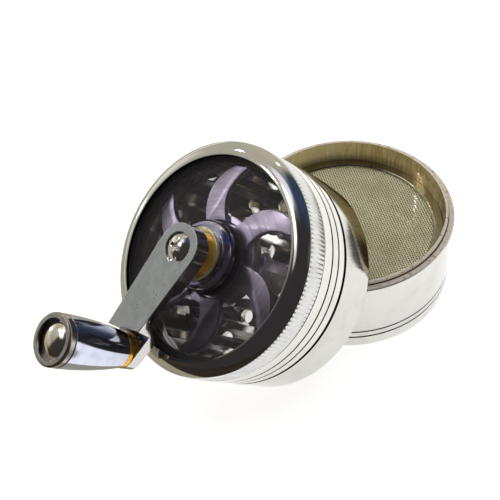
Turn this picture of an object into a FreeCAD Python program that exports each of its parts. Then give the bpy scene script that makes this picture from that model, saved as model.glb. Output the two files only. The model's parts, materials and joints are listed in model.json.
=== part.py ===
# Hand-crank herb grinder, taken apart in two halves as it is photographed.
# Millimetres, +Z up. The origin is the centre of the catch pan's underside, on the surface.
# The lower half (catch pan and sifter) stands upright on that axis.
# The upper half (grinding chamber, crank lid) is modelled upright in its own frame,
# with z = 0 at the rim of the chamber's skirt and the crank along +X, and then leans:
# its skirt rests on the surface and the sifter's rim stands inside the skirt.
import FreeCAD, Part
import math
import os

# Common sizes
body_radius = 27.5
edge_round = 0.6
seam_gap = 0.45
seat_gap = 0.1
slip_gap = 0.3
fit_gap = 0.05
running_gap = 0.05

# Catch pan
pan_wall_height = 3.9
pan_floor = 1.3
pan_neck_step = 1.8
pan_neck_wall = 1.4
pan_neck_height = 5.6

# Sifter
cup_height = 23.85
cup_wall = 2.35
rim_step = 1.6
rim_spigot_height = 1.0
rim_edge_round = 0.2
shoulder_round = 1.6
sifter_groove_height = 6.25
sifter_lower_wall = 3.3
screen_top = 16.8
screen_thickness = 0.3
screen_ledge = 2.2
screen_ledge_thickness = 1.4
screen_ring_width = 2.6
screen_ring_thickness = 0.7
screen_pitch = 2.3
screen_hole = 1.7

# Decorative grooves round the shells
groove_width = 0.45
groove_depth = 0.35

# Grinding chamber
chamber_wall_height = 11.55
skirt_depth = 5.45
skirt_wall = 1.3
plate_thickness = 1.8
plate_seat = 0.8
chamber_neck_step = 1.9
chamber_neck_wall = 1.6
chamber_neck_height = 5.4
drop_hole_radius = 1.7
inner_drop_holes = 6
outer_drop_holes = 12

# Nylon friction ring round the chamber's neck
friction_ring_height = 1.2
friction_ring_rise = 1.6
friction_ring_depth = 0.5
friction_ring_stand = 0.35

# Teeth
tooth_half_depth = 1.05
tooth_half_width = 1.9
tooth_end_gap = 1.2
tooth_row_gap = 1.2
hub_tooth_gap = 2.55
bowl_tooth_gap = 1.55
inner_fixed_count = 8
outer_fixed_count = 14

# Lid ring
lid_groove_heights = (14.72, 17.37)
knurl_bottom = 20.7
knurl_top = 26.1
knurl_depth = 0.2
knurl_ribs = 172
bezel_chamfer = 0.1
bezel_height = 28.05
bezel_width = 3.95
bezel_bulge = 0.45
lip_thickness = 0.85
lid_pocket_wall = 2.5

# Window and what holds it
gasket_thickness = 0.3
gasket_overhang = 0.3
window_thickness = 2.0
window_hole_radius = 4.3
retainer_thickness = 1.0
retainer_width = 2.3

# Bearing hub in the window
flange_base_radius = 8.4
flange_base_height = 0.8
flange_top_radius = 7.2
flange_height = 2.85
hub_ring_radius = 6.2
hub_ring_thickness = 0.75
hub_ring_chamfer = 0.25
bush_head_radius = 5.0
bush_head_thickness = 2.0
bush_radius = 4.0
clamp_washer_radius = 8.6
clamp_washer_thickness = 0.8
clamp_nut_flats = 10.0
clamp_nut_thickness = 1.6
bush_end_stand = 0.2

# Shaft, rotor and what clamps the rotor
shaft_radius = 3.0
shaft_square = 4.2
thrust_washer_radius = 4.6
thrust_washer_thickness = 0.6
rotor_hub_thickness = 1.6
rotor_arm_thickness = 1.6
rotor_bowl_gap = 1.8
rotor_dish_gap = 0.5
rotor_dish_wall = 1.6
rotor_dish_lap = 0.3
rotor_window_gap = 0.4
rotor_arms = 6
rotor_arm_angle = 38.0
arm_lead_angles = (18.5, 14.0, 5.5, -11.0)
arm_trail_angles = (-18.0, -9.4, -12.7, -20.5)
arm_tooth_angle = -3.3
stud_radius = 2.0
stud_stand = 0.4
rotor_washer_radius = 4.6
rotor_washer_thickness = 0.6
rotor_nut_flats = 7.0
rotor_nut_thickness = 2.2

# Crank arm
arm_clearance = 0.2
hub_boss_radius = 5.5
hub_boss_thickness = 4.0
hub_boss_reach = 8.0
arm_thickness = 2.0
arm_length = 28.2
arm_end_radius = 4.2
arm_end_thickness = 3.2
arm_drop = 4.3
arm_step_setback = 5.9
arm_step_angle = 26.5
arm_step_run = 0.8
arm_web_setback = 10.0
arm_web_run = 3.5
recess_radius = 3.5
recess_depth = 0.9
recess_chamfer = 0.3

# Crank screw
screw_head_radius = 3.1
screw_head_side = 0.7
screw_head_dome = 1.2
screw_radius = 1.5
screw_length = 6.5
cross_slot_width = 0.85
cross_slot_length = 3.6
cross_slot_depth = 1.1

# Knob and its pin
collar_radius = 4.1
collar_thickness = 1.5
knob_gap = 0.15
knob_length = 19.1
knob_inner_radius = 4.35
knob_belly_radius = 5.6
knob_belly_height = 9.55
knob_outer_radius = 5.85
cap_groove_width = 0.3
cap_groove_depth = 0.5
cap_thickness = 1.6
cap_round = 0.7
cap_recess_radius = 4.5
pin_head_radius = 3.85
pin_head_side = 0.5
pin_head_dome = 1.1
pin_radius = 1.6

# How the upper half leans
lean_tilt = 38.7
lean_heading = 220.57
lean_offset = 1.57
rest_gap = 0.02
rim_gap = 0.3

# Radii that follow the common shell
pan_neck_radius = body_radius - pan_neck_step
cup_inner_radius = body_radius - cup_wall
rim_spigot_radius = body_radius - rim_step
sifter_lower_radius = body_radius - sifter_lower_wall
chamber_neck_radius = body_radius - chamber_neck_step
bowl_radius = chamber_neck_radius - chamber_neck_wall
bezel_start_radius = body_radius - bezel_chamfer
bezel_inner_radius = body_radius - bezel_width
lid_pocket_radius = body_radius - lid_pocket_wall
rotor_radius = bowl_radius - rotor_bowl_gap
rotor_dish_radius = clamp_washer_radius + rotor_dish_gap
rotor_dish_outer = rotor_dish_radius + rotor_dish_wall

# Tooth rings: fixed and moving rings take turns, from the hub out to the bowl's wall
inner_fixed_radius = rotor_dish_outer + hub_tooth_gap + tooth_half_depth
outer_fixed_radius = bowl_radius - bowl_tooth_gap - tooth_half_depth
inner_moving_radius = inner_fixed_radius - 2 * tooth_half_depth - tooth_row_gap
outer_moving_radius = (inner_fixed_radius + outer_fixed_radius) / 2

# Levels of the lower half, from the surface up
sifter_bottom = pan_wall_height + seam_gap
pan_neck_top = pan_wall_height + pan_neck_height
sifter_shoulder = pan_neck_top + seat_gap
screen_bottom = screen_top - screen_thickness
screen_radius = cup_inner_radius - fit_gap

# Levels of the upper half, in its own frame
plate_top = skirt_depth + plate_thickness
lid_bottom = chamber_wall_height + seam_gap
chamber_neck_top = chamber_wall_height + chamber_neck_height
lid_shoulder = chamber_neck_top + seat_gap
lip_under = bezel_height - lip_thickness
window_top = lip_under - gasket_thickness
window_under = window_top - window_thickness
flange_top = window_top + flange_height
hub_ring_top = flange_top + hub_ring_thickness
bush_top = hub_ring_top + bush_head_thickness
clamp_under = window_under - clamp_washer_thickness
nut_under = clamp_under - clamp_nut_thickness
bush_under = nut_under - bush_end_stand
rotor_hub_top = bush_under - seat_gap - thrust_washer_thickness
rotor_hub_under = rotor_hub_top - rotor_hub_thickness
rotor_top = window_under - rotor_window_gap
rotor_under = rotor_top - rotor_arm_thickness
rotor_dish_top = rotor_under + rotor_dish_lap
washer_under = rotor_hub_under - rotor_washer_thickness
rotor_nut_under = washer_under - rotor_nut_thickness
arm_back = bush_top + arm_clearance
arm_front = arm_back + hub_boss_thickness
arm_under = arm_front - arm_thickness
recess_floor = arm_front - recess_depth
arm_end_front = arm_front - arm_drop
arm_end_back = arm_end_front - arm_end_thickness
collar_top = arm_end_front + collar_thickness
knob_bottom = collar_top + knob_gap
knob_top = knob_bottom + knob_length
cap_bottom = knob_top - cap_thickness


def point(r, z):
    """A point of a turned outline: radius and height."""
    return FreeCAD.Vector(r, 0, z)


def turned(outline):
    """Turn a closed outline round the Z axis.
    An entry is a corner (r, z), or an arc's end (r, z) with its middle point (r, z)."""
    edges = []
    start = point(*outline[0][0])
    here = start
    for step in outline[1:] + [outline[0][:1]]:
        there = point(*step[0])
        if there.distanceToPoint(here) < 1e-6:
            continue
        if len(step) == 2:
            edges.append(Part.Arc(here, point(*step[1]), there).toShape())
        else:
            edges.append(Part.LineSegment(here, there).toShape())
        here = there
    face = Part.Face(Part.Wire(edges))
    return face.revolve(FreeCAD.Vector(0, 0, 0), FreeCAD.Vector(0, 0, 1), 360)


def corner(r, z):
    """A sharp corner of a turned outline."""
    return ((r, z),)


def rounded(r_centre, z_centre, radius, start_angle, end_angle):
    """A quarter-round or less: the first corner and the arc that leaves it."""
    middle = math.radians((start_angle + end_angle) / 2)
    first = math.radians(start_angle)
    last = math.radians(end_angle)

    def at(angle):
        return (r_centre + radius * math.cos(angle), z_centre + radius * math.sin(angle))

    return [(at(first),), (at(last), at(middle))]


def cylinder(radius, bottom, top, x=0.0, y=0.0):
    """An upright cylinder between two heights."""
    return Part.makeCylinder(radius, top - bottom, FreeCAD.Vector(x, y, bottom))


def ring(inner, outer, bottom, top):
    """A plain washer between two heights."""
    return cylinder(outer, bottom, top).cut(cylinder(inner, bottom - 1, top + 1))


def prism(points, bottom, top):
    """A straight prism over a closed polygon of (x, y) points."""
    vectors = [FreeCAD.Vector(x, y, bottom) for x, y in points]
    face = Part.Face(Part.makePolygon(vectors + vectors[:1]))
    return face.extrude(FreeCAD.Vector(0, 0, top - bottom))


def polar(radius, degrees):
    """A point of the XY plane."""
    angle = math.radians(degrees)
    return (radius * math.cos(angle), radius * math.sin(angle))


def hexagon_nut(flats, bore, bottom, top):
    """A hexagon nut with a plain bore."""
    corners = [polar(flats / math.sqrt(3), 60 * k) for k in range(6)]
    return prism(corners, bottom, top).cut(cylinder(bore, bottom - 1, top + 1))


def groove(height):
    """The ring that cuts one shallow groove into a shell's outer wall."""
    low = height - groove_width / 2
    high = height + groove_width / 2
    return ring(body_radius - groove_depth, body_radius + 1, low, high)


def catch_pan():
    """Shallow pan with a neck that the sifter slips over."""
    neck_inner = pan_neck_radius - pan_neck_wall
    outline = [corner(0, 0)]
    outline += rounded(body_radius - edge_round, edge_round, edge_round, -90, 0)
    outline += [
        corner(body_radius, pan_wall_height),
        corner(pan_neck_radius, pan_wall_height),
        corner(pan_neck_radius, pan_neck_top),
        corner(neck_inner, pan_neck_top),
        corner(neck_inner, pan_floor),
        corner(0, pan_floor),
    ]
    return turned(outline)


def sifter_ring():
    """Middle ring: a cup over a screen ledge, and a rim that the chamber's skirt drops over."""
    bore = pan_neck_radius + slip_gap
    ledge_inner = cup_inner_radius - screen_ledge
    ledge_under = screen_bottom - screen_ledge_thickness
    shoulder_z = cup_height - rim_spigot_height - shoulder_round
    outline = [
        corner(bore, sifter_bottom),
        corner(body_radius, sifter_bottom),
    ]
    arc_centre = body_radius - shoulder_round
    outline += rounded(arc_centre, shoulder_z, shoulder_round, 0, 90)
    outline += [corner(rim_spigot_radius, cup_height - rim_spigot_height)]
    outline += rounded(
        rim_spigot_radius - rim_edge_round, cup_height - rim_edge_round, rim_edge_round, 0, 90)
    outline += rounded(
        cup_inner_radius + rim_edge_round, cup_height - rim_edge_round, rim_edge_round, 90, 180)
    outline += [
        corner(cup_inner_radius, screen_bottom),
        corner(ledge_inner, screen_bottom),
        corner(ledge_inner, ledge_under),
        corner(sifter_lower_radius, ledge_under),
        corner(sifter_lower_radius, sifter_shoulder),
        corner(bore, sifter_shoulder),
    ]
    return turned(outline).cut(groove(sifter_groove_height))


def sifter_screen():
    """Round screen, one face with a square gap at each crossing of its grid."""
    disc = Part.Wire(Part.makeCircle(screen_radius, FreeCAD.Vector(0, 0, screen_bottom)))
    clear_radius = cup_inner_radius - screen_ring_width - screen_hole
    half = screen_hole / 2
    span = int(clear_radius / screen_pitch) + 1
    gaps = []
    for column in range(-span, span + 1):
        for row in range(-span, span + 1):
            x = column * screen_pitch
            y = row * screen_pitch
            if math.hypot(x, y) > clear_radius:
                continue
            corners = [(x - half, y - half), (x - half, y + half), (x + half, y + half), (x + half, y - half)]
            loop = [FreeCAD.Vector(a, b, screen_bottom) for a, b in corners]
            gaps.append(Part.makePolygon(loop + loop[:1]))
    net = Part.makeFace([disc] + gaps, "Part::FaceMakerBullseye")
    print("screen gaps", len(gaps))
    return net.extrude(FreeCAD.Vector(0, 0, screen_thickness))


def screen_retaining_ring():
    """Flat ring pressed into the cup on top of the screen."""
    inner = cup_inner_radius - screen_ring_width
    outer = cup_inner_radius - fit_gap
    top = screen_top + screen_ring_thickness
    outline = [
        corner(inner, screen_top),
        corner(outer, screen_top),
        corner(outer, top),
        corner(inner + screen_ring_thickness / 2, top),
        corner(inner, screen_top + screen_ring_thickness / 2),
    ]
    return turned(outline)


def tooth(radius, degrees, bottom, top):
    """One diamond tooth with its points along the ring it stands on."""
    x, y = polar(radius, degrees)
    outward = polar(tooth_half_depth, degrees)
    along = polar(tooth_half_width, degrees + 90)
    corners = [
        (x + outward[0], y + outward[1]),
        (x + along[0], y + along[1]),
        (x - outward[0], y - outward[1]),
        (x - along[0], y - along[1]),
    ]
    return prism(corners, bottom, top)


def grinding_chamber():
    """Chamber shell: skirt, wall, neck, and the ledge in its bore that carries the tooth plate."""
    skirt_inner = body_radius - skirt_wall
    ring_bottom = lid_bottom + friction_ring_rise
    ring_top = ring_bottom + friction_ring_height
    ring_seat = chamber_neck_radius - friction_ring_depth
    ledge_inner = bowl_radius - plate_seat
    outline = [corner(skirt_inner, skirt_depth), corner(skirt_inner, 0)]
    outline += rounded(body_radius - edge_round, edge_round, edge_round, -90, 0)
    outline += [
        corner(body_radius, chamber_wall_height),
        corner(chamber_neck_radius, chamber_wall_height),
        corner(chamber_neck_radius, ring_bottom),
        corner(ring_seat, ring_bottom),
        corner(ring_seat, ring_top),
        corner(chamber_neck_radius, ring_top),
        corner(chamber_neck_radius, chamber_neck_top),
        corner(bowl_radius, chamber_neck_top),
        corner(bowl_radius, skirt_depth + plate_seat),
        corner(ledge_inner, skirt_depth + plate_seat),
        corner(ledge_inner, skirt_depth),
    ]
    return turned(outline)


def tooth_plate():
    """Pierced plate with two rings of fixed teeth, pressed into the shell onto its ledge."""
    outer = bowl_radius - fit_gap
    outline = [
        corner(0, skirt_depth),
        corner(outer - plate_seat, skirt_depth),
        corner(outer - plate_seat, skirt_depth + plate_seat),
        corner(outer, skirt_depth + plate_seat),
        corner(outer, plate_top),
        corner(0, plate_top),
    ]
    holes = []
    for count, radius in ((inner_drop_holes, inner_moving_radius), (outer_drop_holes, outer_moving_radius)):
        for k in range(count):
            x, y = polar(radius, 360 * (k + 0.5) / count)
            holes.append(cylinder(drop_hole_radius, skirt_depth - 1, plate_top + 1, x, y))
    shape = turned(outline).cut(Part.makeCompound(holes))
    teeth = []
    tooth_top = rotor_under - tooth_end_gap
    for count, radius in ((inner_fixed_count, inner_fixed_radius), (outer_fixed_count, outer_fixed_radius)):
        for k in range(count):
            teeth.append(tooth(radius, 360 * k / count, plate_top - fit_gap, tooth_top))
    return shape.multiFuse(teeth).removeSplitter()


def chamber_friction_ring():
    """Nylon ring that the lid drags on when it is closed."""
    bottom = lid_bottom + friction_ring_rise
    inner = chamber_neck_radius - friction_ring_depth
    outer = chamber_neck_radius + friction_ring_stand
    return ring(inner, outer, bottom, bottom + friction_ring_height)


def knurl_band(bore):
    """Band of fine straight ribs round the lid."""
    corners = []
    for k in range(knurl_ribs):
        step = 360 / knurl_ribs
        corners.append(polar(body_radius, k * step))
        corners.append(polar(body_radius + knurl_depth, (k + 0.5) * step))
    band = prism(corners, knurl_bottom, knurl_top)
    return band.cut(cylinder(bore, knurl_bottom - 1, knurl_top + 1))


def lid_ring():
    """Lid shell: bore over the chamber's neck, knurled band, rounded bezel over the window."""
    bore = chamber_neck_radius + friction_ring_stand + slip_gap
    bezel_start = knurl_top + bezel_chamfer
    middle_r = (bezel_start_radius + bezel_inner_radius) / 2 + bezel_bulge
    middle_z = (bezel_start + bezel_height) / 2 + bezel_bulge
    outline = [
        corner(bore, lid_bottom),
        corner(body_radius, lid_bottom),
        corner(body_radius, knurl_top),
        corner(bezel_start_radius, bezel_start),
        ((bezel_inner_radius, bezel_height), (middle_r, middle_z)),
        corner(bezel_inner_radius, lip_under),
        corner(lid_pocket_radius, lip_under),
        corner(lid_pocket_radius, lid_shoulder),
        corner(bore, lid_shoulder),
    ]
    shape = turned(outline)
    for height in lid_groove_heights:
        shape = shape.cut(groove(height))
    return shape.fuse(knurl_band(lid_pocket_radius)).removeSplitter()


def window_gasket():
    """Thin black gasket between the bezel's lip and the window."""
    inner = bezel_inner_radius - gasket_overhang
    return ring(inner, lid_pocket_radius - fit_gap, window_top, lip_under)


def lid_window():
    """Smoked disc with a hole for the bearing."""
    return ring(window_hole_radius, lid_pocket_radius - fit_gap, window_under, window_top)


def window_retaining_ring():
    """Snap ring that holds the window up against the gasket."""
    outer = lid_pocket_radius - fit_gap
    return ring(outer - retainer_width, outer, window_under - retainer_thickness, window_under)


def hub_flange():
    """Polished outer flange of the bearing, with a shallow ring groove in its top."""
    bore = bush_radius + fit_gap
    base_top = window_top + flange_base_height
    shoulder = flange_top - seam_gap
    middle = ((flange_base_radius + flange_top_radius) / 2 + edge_round / 2, (base_top + shoulder) / 2)
    outline = [
        corner(bore, window_top),
        corner(flange_base_radius, window_top),
        corner(flange_base_radius, base_top),
        ((flange_top_radius, shoulder), middle),
        corner(flange_top_radius, flange_top),
        corner(bore, flange_top),
    ]
    relief_outer = hub_ring_radius + groove_width
    relief = ring(hub_ring_radius, relief_outer, flange_top - groove_depth, flange_top + 1)
    return turned(outline).cut(relief)


def hub_lock_ring():
    """Stepped ring on top of the flange."""
    outline = [
        corner(bush_radius + fit_gap, flange_top),
        corner(hub_ring_radius, flange_top),
        corner(hub_ring_radius, hub_ring_top - hub_ring_chamfer),
        corner(hub_ring_radius - hub_ring_chamfer, hub_ring_top),
        corner(bush_radius + fit_gap, hub_ring_top),
    ]
    return turned(outline)


def hub_bush():
    """Headed brass bush that the shaft turns in."""
    bore = shaft_radius + running_gap
    outline = [
        corner(bore, bush_under),
        corner(bush_radius, bush_under),
        corner(bush_radius, hub_ring_top),
        corner(bush_head_radius, hub_ring_top),
        corner(bush_head_radius, bush_top),
        corner(bore, bush_top),
    ]
    return turned(outline)


def hub_clamp_washer():
    """Wide washer under the window."""
    return ring(bush_radius + fit_gap, clamp_washer_radius, clamp_under, window_under)


def hub_clamp_nut():
    """Nut on the bush that clamps washer, window and flange together."""
    return hexagon_nut(clamp_nut_flats, bush_radius + fit_gap, nut_under, clamp_under)


def square_bar(side, bottom, top):
    """An upright square bar on the axis."""
    half = side / 2
    return prism([(-half, -half), (half, -half), (half, half), (-half, half)], bottom, top)


def crank_shaft():
    """Shaft: stud, square for the rotor, journal, square for the arm, tapped end."""
    stud = cylinder(stud_radius, rotor_nut_under - stud_stand, rotor_hub_under)
    lower_square = square_bar(shaft_square, rotor_hub_under, rotor_hub_top)
    journal = cylinder(shaft_radius, rotor_hub_top, arm_back)
    upper_square = square_bar(shaft_square, arm_back, recess_floor - seat_gap)
    shape = journal.fuse([stud, lower_square, upper_square])
    bottom = recess_floor - screw_length - seat_gap
    tapped = cylinder(screw_radius + fit_gap, bottom, recess_floor + 1)
    return shape.cut(tapped)


def thrust_washer():
    """Washer between the rotor's hub and the bush."""
    bottom = rotor_hub_top
    return ring(shaft_radius + fit_gap, thrust_washer_radius, bottom, bottom + thrust_washer_thickness)


def rotor_arm_face(middle):
    """Crescent arm that sweeps back as it runs out from the dish; its ends follow the bowl."""
    reach = rotor_radius - rotor_dish_radius

    def spot(radius, degrees):
        x, y = polar(radius, middle + degrees)
        return FreeCAD.Vector(x, y, rotor_under)

    def side(angles):
        count = len(angles) - 1
        curve = Part.BSplineCurve()
        curve.interpolate([spot(rotor_dish_radius + reach * k / count, a) for k, a in enumerate(angles)])
        return curve.toShape()

    def end(radius, first, last):
        return Part.Arc(spot(radius, first), spot(radius, (first + last) / 2), spot(radius, last)).toShape()

    return Part.Face(Part.Wire([
        side(arm_lead_angles),
        end(rotor_radius, arm_lead_angles[-1], arm_trail_angles[-1]),
        side(arm_trail_angles),
        end(rotor_dish_radius, arm_trail_angles[0], arm_lead_angles[0]),
    ]))


def rotor():
    """Rotor casting: dished hub, swept arms with free ends, and moving teeth under the arms."""
    hub = turned([
        corner(0, rotor_hub_under),
        corner(rotor_dish_outer, rotor_hub_under),
        corner(rotor_dish_outer, rotor_dish_top),
        corner(rotor_dish_radius, rotor_dish_top),
        corner(rotor_dish_radius, rotor_hub_top),
        corner(0, rotor_hub_top),
    ])
    pieces = []
    low = plate_top + tooth_end_gap
    for k in range(rotor_arms):
        middle = rotor_arm_angle + 360 * k / rotor_arms
        between = middle + 180 / rotor_arms
        pieces.append(rotor_arm_face(middle).extrude(FreeCAD.Vector(0, 0, rotor_arm_thickness)))
        pieces.append(tooth(outer_moving_radius, middle + arm_tooth_angle, low, rotor_under + fit_gap))
        pieces.append(tooth(inner_moving_radius, between, low, rotor_hub_under + fit_gap))
    shape = hub.multiFuse(pieces).removeSplitter()
    bore = square_bar(shaft_square + 2 * fit_gap, rotor_hub_under - 1, rotor_hub_top + 1)
    return shape.cut(bore)


def rotor_washer():
    """Washer under the rotor's hub."""
    return ring(stud_radius + fit_gap, rotor_washer_radius, washer_under, rotor_hub_under)


def rotor_nut():
    """Nut on the shaft's stud."""
    return hexagon_nut(rotor_nut_flats, stud_radius + fit_gap, rotor_nut_under, washer_under)


def arm_side_profile():
    """Side view of the arm: thick boss, thin flat, and the web that drops to the knob's boss."""
    left = -hub_boss_radius
    right = arm_length + arm_end_radius
    web_start = arm_length - arm_web_setback
    heights = [
        (left, arm_back),
        (hub_boss_reach, arm_back),
        (hub_boss_reach + arm_thickness, arm_under),
        (web_start, arm_under),
        (web_start + arm_web_run, arm_end_back),
        (right, arm_end_back),
        (right, arm_front),
        (left, arm_front),
    ]
    vectors = [FreeCAD.Vector(x, -2 * hub_boss_radius, z) for x, z in heights]
    face = Part.Face(Part.makePolygon(vectors + vectors[:1]))
    return face.extrude(FreeCAD.Vector(0, 4 * hub_boss_radius, 0))


def arm_step():
    """What is cut off in front of the knob's boss: a steep face, skewed across the arm."""
    far = arm_step_setback + 2 * arm_end_radius
    heights = [
        (arm_step_run, arm_end_front),
        (0, arm_front),
        (0, arm_front + 1),
        (far, arm_front + 1),
        (far, arm_end_front),
    ]
    vectors = [FreeCAD.Vector(x, -far, z) for x, z in heights]
    face = Part.Face(Part.makePolygon(vectors + vectors[:1]))
    cutter = face.extrude(FreeCAD.Vector(0, 2 * far, 0))
    cutter.rotate(FreeCAD.Vector(0, 0, 0), FreeCAD.Vector(0, 0, 1), arm_step_angle)
    cutter.translate(FreeCAD.Vector(arm_length - arm_step_setback, 0, 0))
    return cutter


def arm_plan(bottom, top):
    """Plan of the arm: a round boss, straight tapering sides and a smaller round end."""
    lean = math.degrees(math.asin((hub_boss_radius - arm_end_radius) / arm_length))
    sides = []
    for sign in (1, -1):
        near = polar(hub_boss_radius, sign * (90 - lean))
        far = polar(arm_end_radius, sign * (90 - lean))
        sides.append((near, (far[0] + arm_length, far[1])))
    web = prism([sides[0][0], sides[0][1], sides[1][1], sides[1][0]], bottom, top)
    near_end = cylinder(hub_boss_radius, bottom, top)
    far_end = cylinder(arm_end_radius, bottom, top, arm_length)
    return web.multiFuse([near_end, far_end]).removeSplitter()


def crank_arm():
    """Cast arm from the shaft to the knob's pin."""
    shape = arm_plan(arm_end_back - 1, arm_front + 1).common(arm_side_profile())
    recess = cylinder(recess_radius, recess_floor, arm_front + 1)
    mouth = Part.makeCone(
        recess_radius, recess_radius + recess_chamfer, recess_chamfer,
        FreeCAD.Vector(0, 0, arm_front - recess_chamfer))
    square = square_bar(shaft_square + 2 * fit_gap, arm_back - 1, arm_front)
    pin_hole = cylinder(pin_radius + fit_gap, arm_end_back - 1, arm_end_front + 1, arm_length)
    return shape.cut([recess, mouth, square, pin_hole, arm_step()]).removeSplitter()


def domed_head(radius, side, dome, bottom):
    """Turned screw head: straight side and a shallow dome."""
    top = bottom + side + dome
    sphere_radius = (radius ** 2 + dome ** 2) / (2 * dome)
    half_angle = math.asin(radius / sphere_radius) / 2
    middle = (sphere_radius * math.sin(half_angle), top - sphere_radius * (1 - math.cos(half_angle)))
    return turned([
        corner(0, bottom),
        corner(radius, bottom),
        corner(radius, bottom + side),
        ((0, top), middle),
    ])


def crank_screw():
    """Cross-head screw that holds the arm on the shaft."""
    head = domed_head(screw_head_radius, screw_head_side, screw_head_dome, recess_floor)
    shank = cylinder(screw_radius, recess_floor - screw_length, recess_floor)
    shape = head.fuse(shank)
    top = recess_floor + screw_head_side + screw_head_dome
    half = cross_slot_length / 2
    width = cross_slot_width / 2
    for x, y in ((half, width), (width, half)):
        slot = prism([(-x, -y), (x, -y), (x, y), (-x, y)], top - cross_slot_depth, top + 1)
        shape = shape.cut(slot)
    return shape


def at_knob(shape):
    """Move a piece from the unit's axis to the knob's axis."""
    shape.translate(FreeCAD.Vector(arm_length, 0, 0))
    return shape


def knob_collar():
    """Brass collar between the arm and the knob."""
    return at_knob(ring(pin_radius + fit_gap, collar_radius, arm_end_front, collar_top))


def knob_barrel():
    """Turned grip, slim at the arm and full towards its free end."""
    bore = pin_radius + running_gap
    belly_z = knob_bottom + knob_belly_height
    groove_low = cap_bottom - cap_groove_width
    neck = knob_outer_radius - cap_groove_depth
    outline = [
        corner(bore, knob_bottom),
        corner(knob_inner_radius, knob_bottom),
        ((knob_outer_radius, groove_low), (knob_belly_radius, belly_z)),
        corner(neck, groove_low),
        corner(neck, cap_bottom),
        corner(bore, cap_bottom),
    ]
    return at_knob(turned(outline))


def knob_end_cap():
    """Ferrule at the knob's free end, recessed round the pin's head."""
    outline = [corner(cap_recess_radius, cap_bottom), corner(knob_outer_radius, cap_bottom)]
    outline += rounded(knob_outer_radius - cap_round, knob_top - cap_round, cap_round, 0, 90)
    outline += [corner(cap_recess_radius, knob_top)]
    return at_knob(turned(outline))


def knob_pin():
    """Pin from the knob's free end into the arm, with a domed head."""
    head = domed_head(pin_head_radius, pin_head_side, pin_head_dome, cap_bottom + knob_gap)
    shank = cylinder(pin_radius, arm_end_back, cap_bottom + knob_gap)
    return at_knob(head.fuse(shank))


def lean_placement():
    """Pose of the upper half: its skirt on the surface, the sifter's rim under its plate."""
    tilt = math.radians(lean_tilt)
    heading = math.radians(lean_heading)
    reach = body_radius - edge_round
    height = reach * math.sin(tilt) - edge_round * math.cos(tilt) + edge_round + rest_gap
    rim_radius = rim_spigot_radius - rim_edge_round
    rim_height = cup_height - rim_edge_round
    depth = skirt_depth - rim_gap - rim_edge_round
    depth -= rim_radius * math.sin(tilt) + rim_height * math.cos(tilt)
    back = (depth + height * math.cos(tilt)) / math.sin(tilt)
    x = -back * math.cos(heading) + lean_offset * math.sin(heading) * -1
    y = -back * math.sin(heading) + lean_offset * math.cos(heading)
    turn = FreeCAD.Rotation(FreeCAD.Vector(0, 0, 1), lean_heading)
    lean = FreeCAD.Rotation(FreeCAD.Vector(0, 1, 0), lean_tilt)
    print("upper half at", round(x, 4), round(y, 4), round(height, 4))
    return FreeCAD.Placement(FreeCAD.Vector(x, y, height), turn.multiply(lean))


lower_half = {
    "catch_pan": catch_pan,
    "sifter_ring": sifter_ring,
    "sifter_screen": sifter_screen,
    "screen_retaining_ring": screen_retaining_ring,
}

upper_half = {
    "grinding_chamber": grinding_chamber,
    "tooth_plate": tooth_plate,
    "chamber_friction_ring": chamber_friction_ring,
    "lid_ring": lid_ring,
    "window_gasket": window_gasket,
    "lid_window": lid_window,
    "window_retaining_ring": window_retaining_ring,
    "hub_flange": hub_flange,
    "hub_lock_ring": hub_lock_ring,
    "hub_bush": hub_bush,
    "hub_clamp_washer": hub_clamp_washer,
    "hub_clamp_nut": hub_clamp_nut,
    "crank_shaft": crank_shaft,
    "thrust_washer": thrust_washer,
    "rotor": rotor,
    "rotor_washer": rotor_washer,
    "rotor_nut": rotor_nut,
    "crank_arm": crank_arm,
    "crank_screw": crank_screw,
    "knob_collar": knob_collar,
    "knob_barrel": knob_barrel,
    "knob_end_cap": knob_end_cap,
    "knob_pin": knob_pin,
}

os.makedirs("parts", exist_ok=True)
leaning = lean_placement()
for name, make in lower_half.items():
    shape = make()
    print(name, shape.isValid(), len(shape.Solids), round(shape.Volume, 2))
    shape.exportStep("parts/" + name + ".step")
for name, make in upper_half.items():
    shape = make()
    shape = shape.transformed(leaning.toMatrix(), True)
    print(name, shape.isValid(), len(shape.Solids), round(shape.Volume, 2))
    shape.exportStep("parts/" + name + ".step")
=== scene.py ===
import bmesh
import bpy
import json
import math
from mathutils import Matrix, Vector


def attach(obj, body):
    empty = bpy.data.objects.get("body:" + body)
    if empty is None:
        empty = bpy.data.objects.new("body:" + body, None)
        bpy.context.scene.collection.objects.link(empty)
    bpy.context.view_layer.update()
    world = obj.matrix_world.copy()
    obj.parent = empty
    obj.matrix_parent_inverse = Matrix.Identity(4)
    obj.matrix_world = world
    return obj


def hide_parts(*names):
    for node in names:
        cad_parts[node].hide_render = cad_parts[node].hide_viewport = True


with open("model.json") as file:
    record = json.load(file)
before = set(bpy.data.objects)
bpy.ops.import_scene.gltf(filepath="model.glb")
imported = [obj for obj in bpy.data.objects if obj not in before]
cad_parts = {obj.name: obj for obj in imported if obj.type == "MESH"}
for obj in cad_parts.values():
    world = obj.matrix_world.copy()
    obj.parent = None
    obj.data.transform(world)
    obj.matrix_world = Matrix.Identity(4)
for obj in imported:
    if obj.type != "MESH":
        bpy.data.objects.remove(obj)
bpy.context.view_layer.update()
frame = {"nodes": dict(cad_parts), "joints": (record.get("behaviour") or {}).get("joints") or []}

# ---------------------------------------------------------------------------
# The grinder comes apart in two halves. The lower half stands upright at the origin.
# The upper half is made upright in millimetres, with its crank along +X, and then
# leans on the lower half: its place is read from the crank's and the knob's joints.
MM = 0.001
joints = {joint["name"]: joint for joint in frame["joints"]}
lean_axis = Vector(joints["crank_turn"]["axis"]).normalized()
crank_foot = Vector(joints["crank_turn"]["pos_m"])
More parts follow.
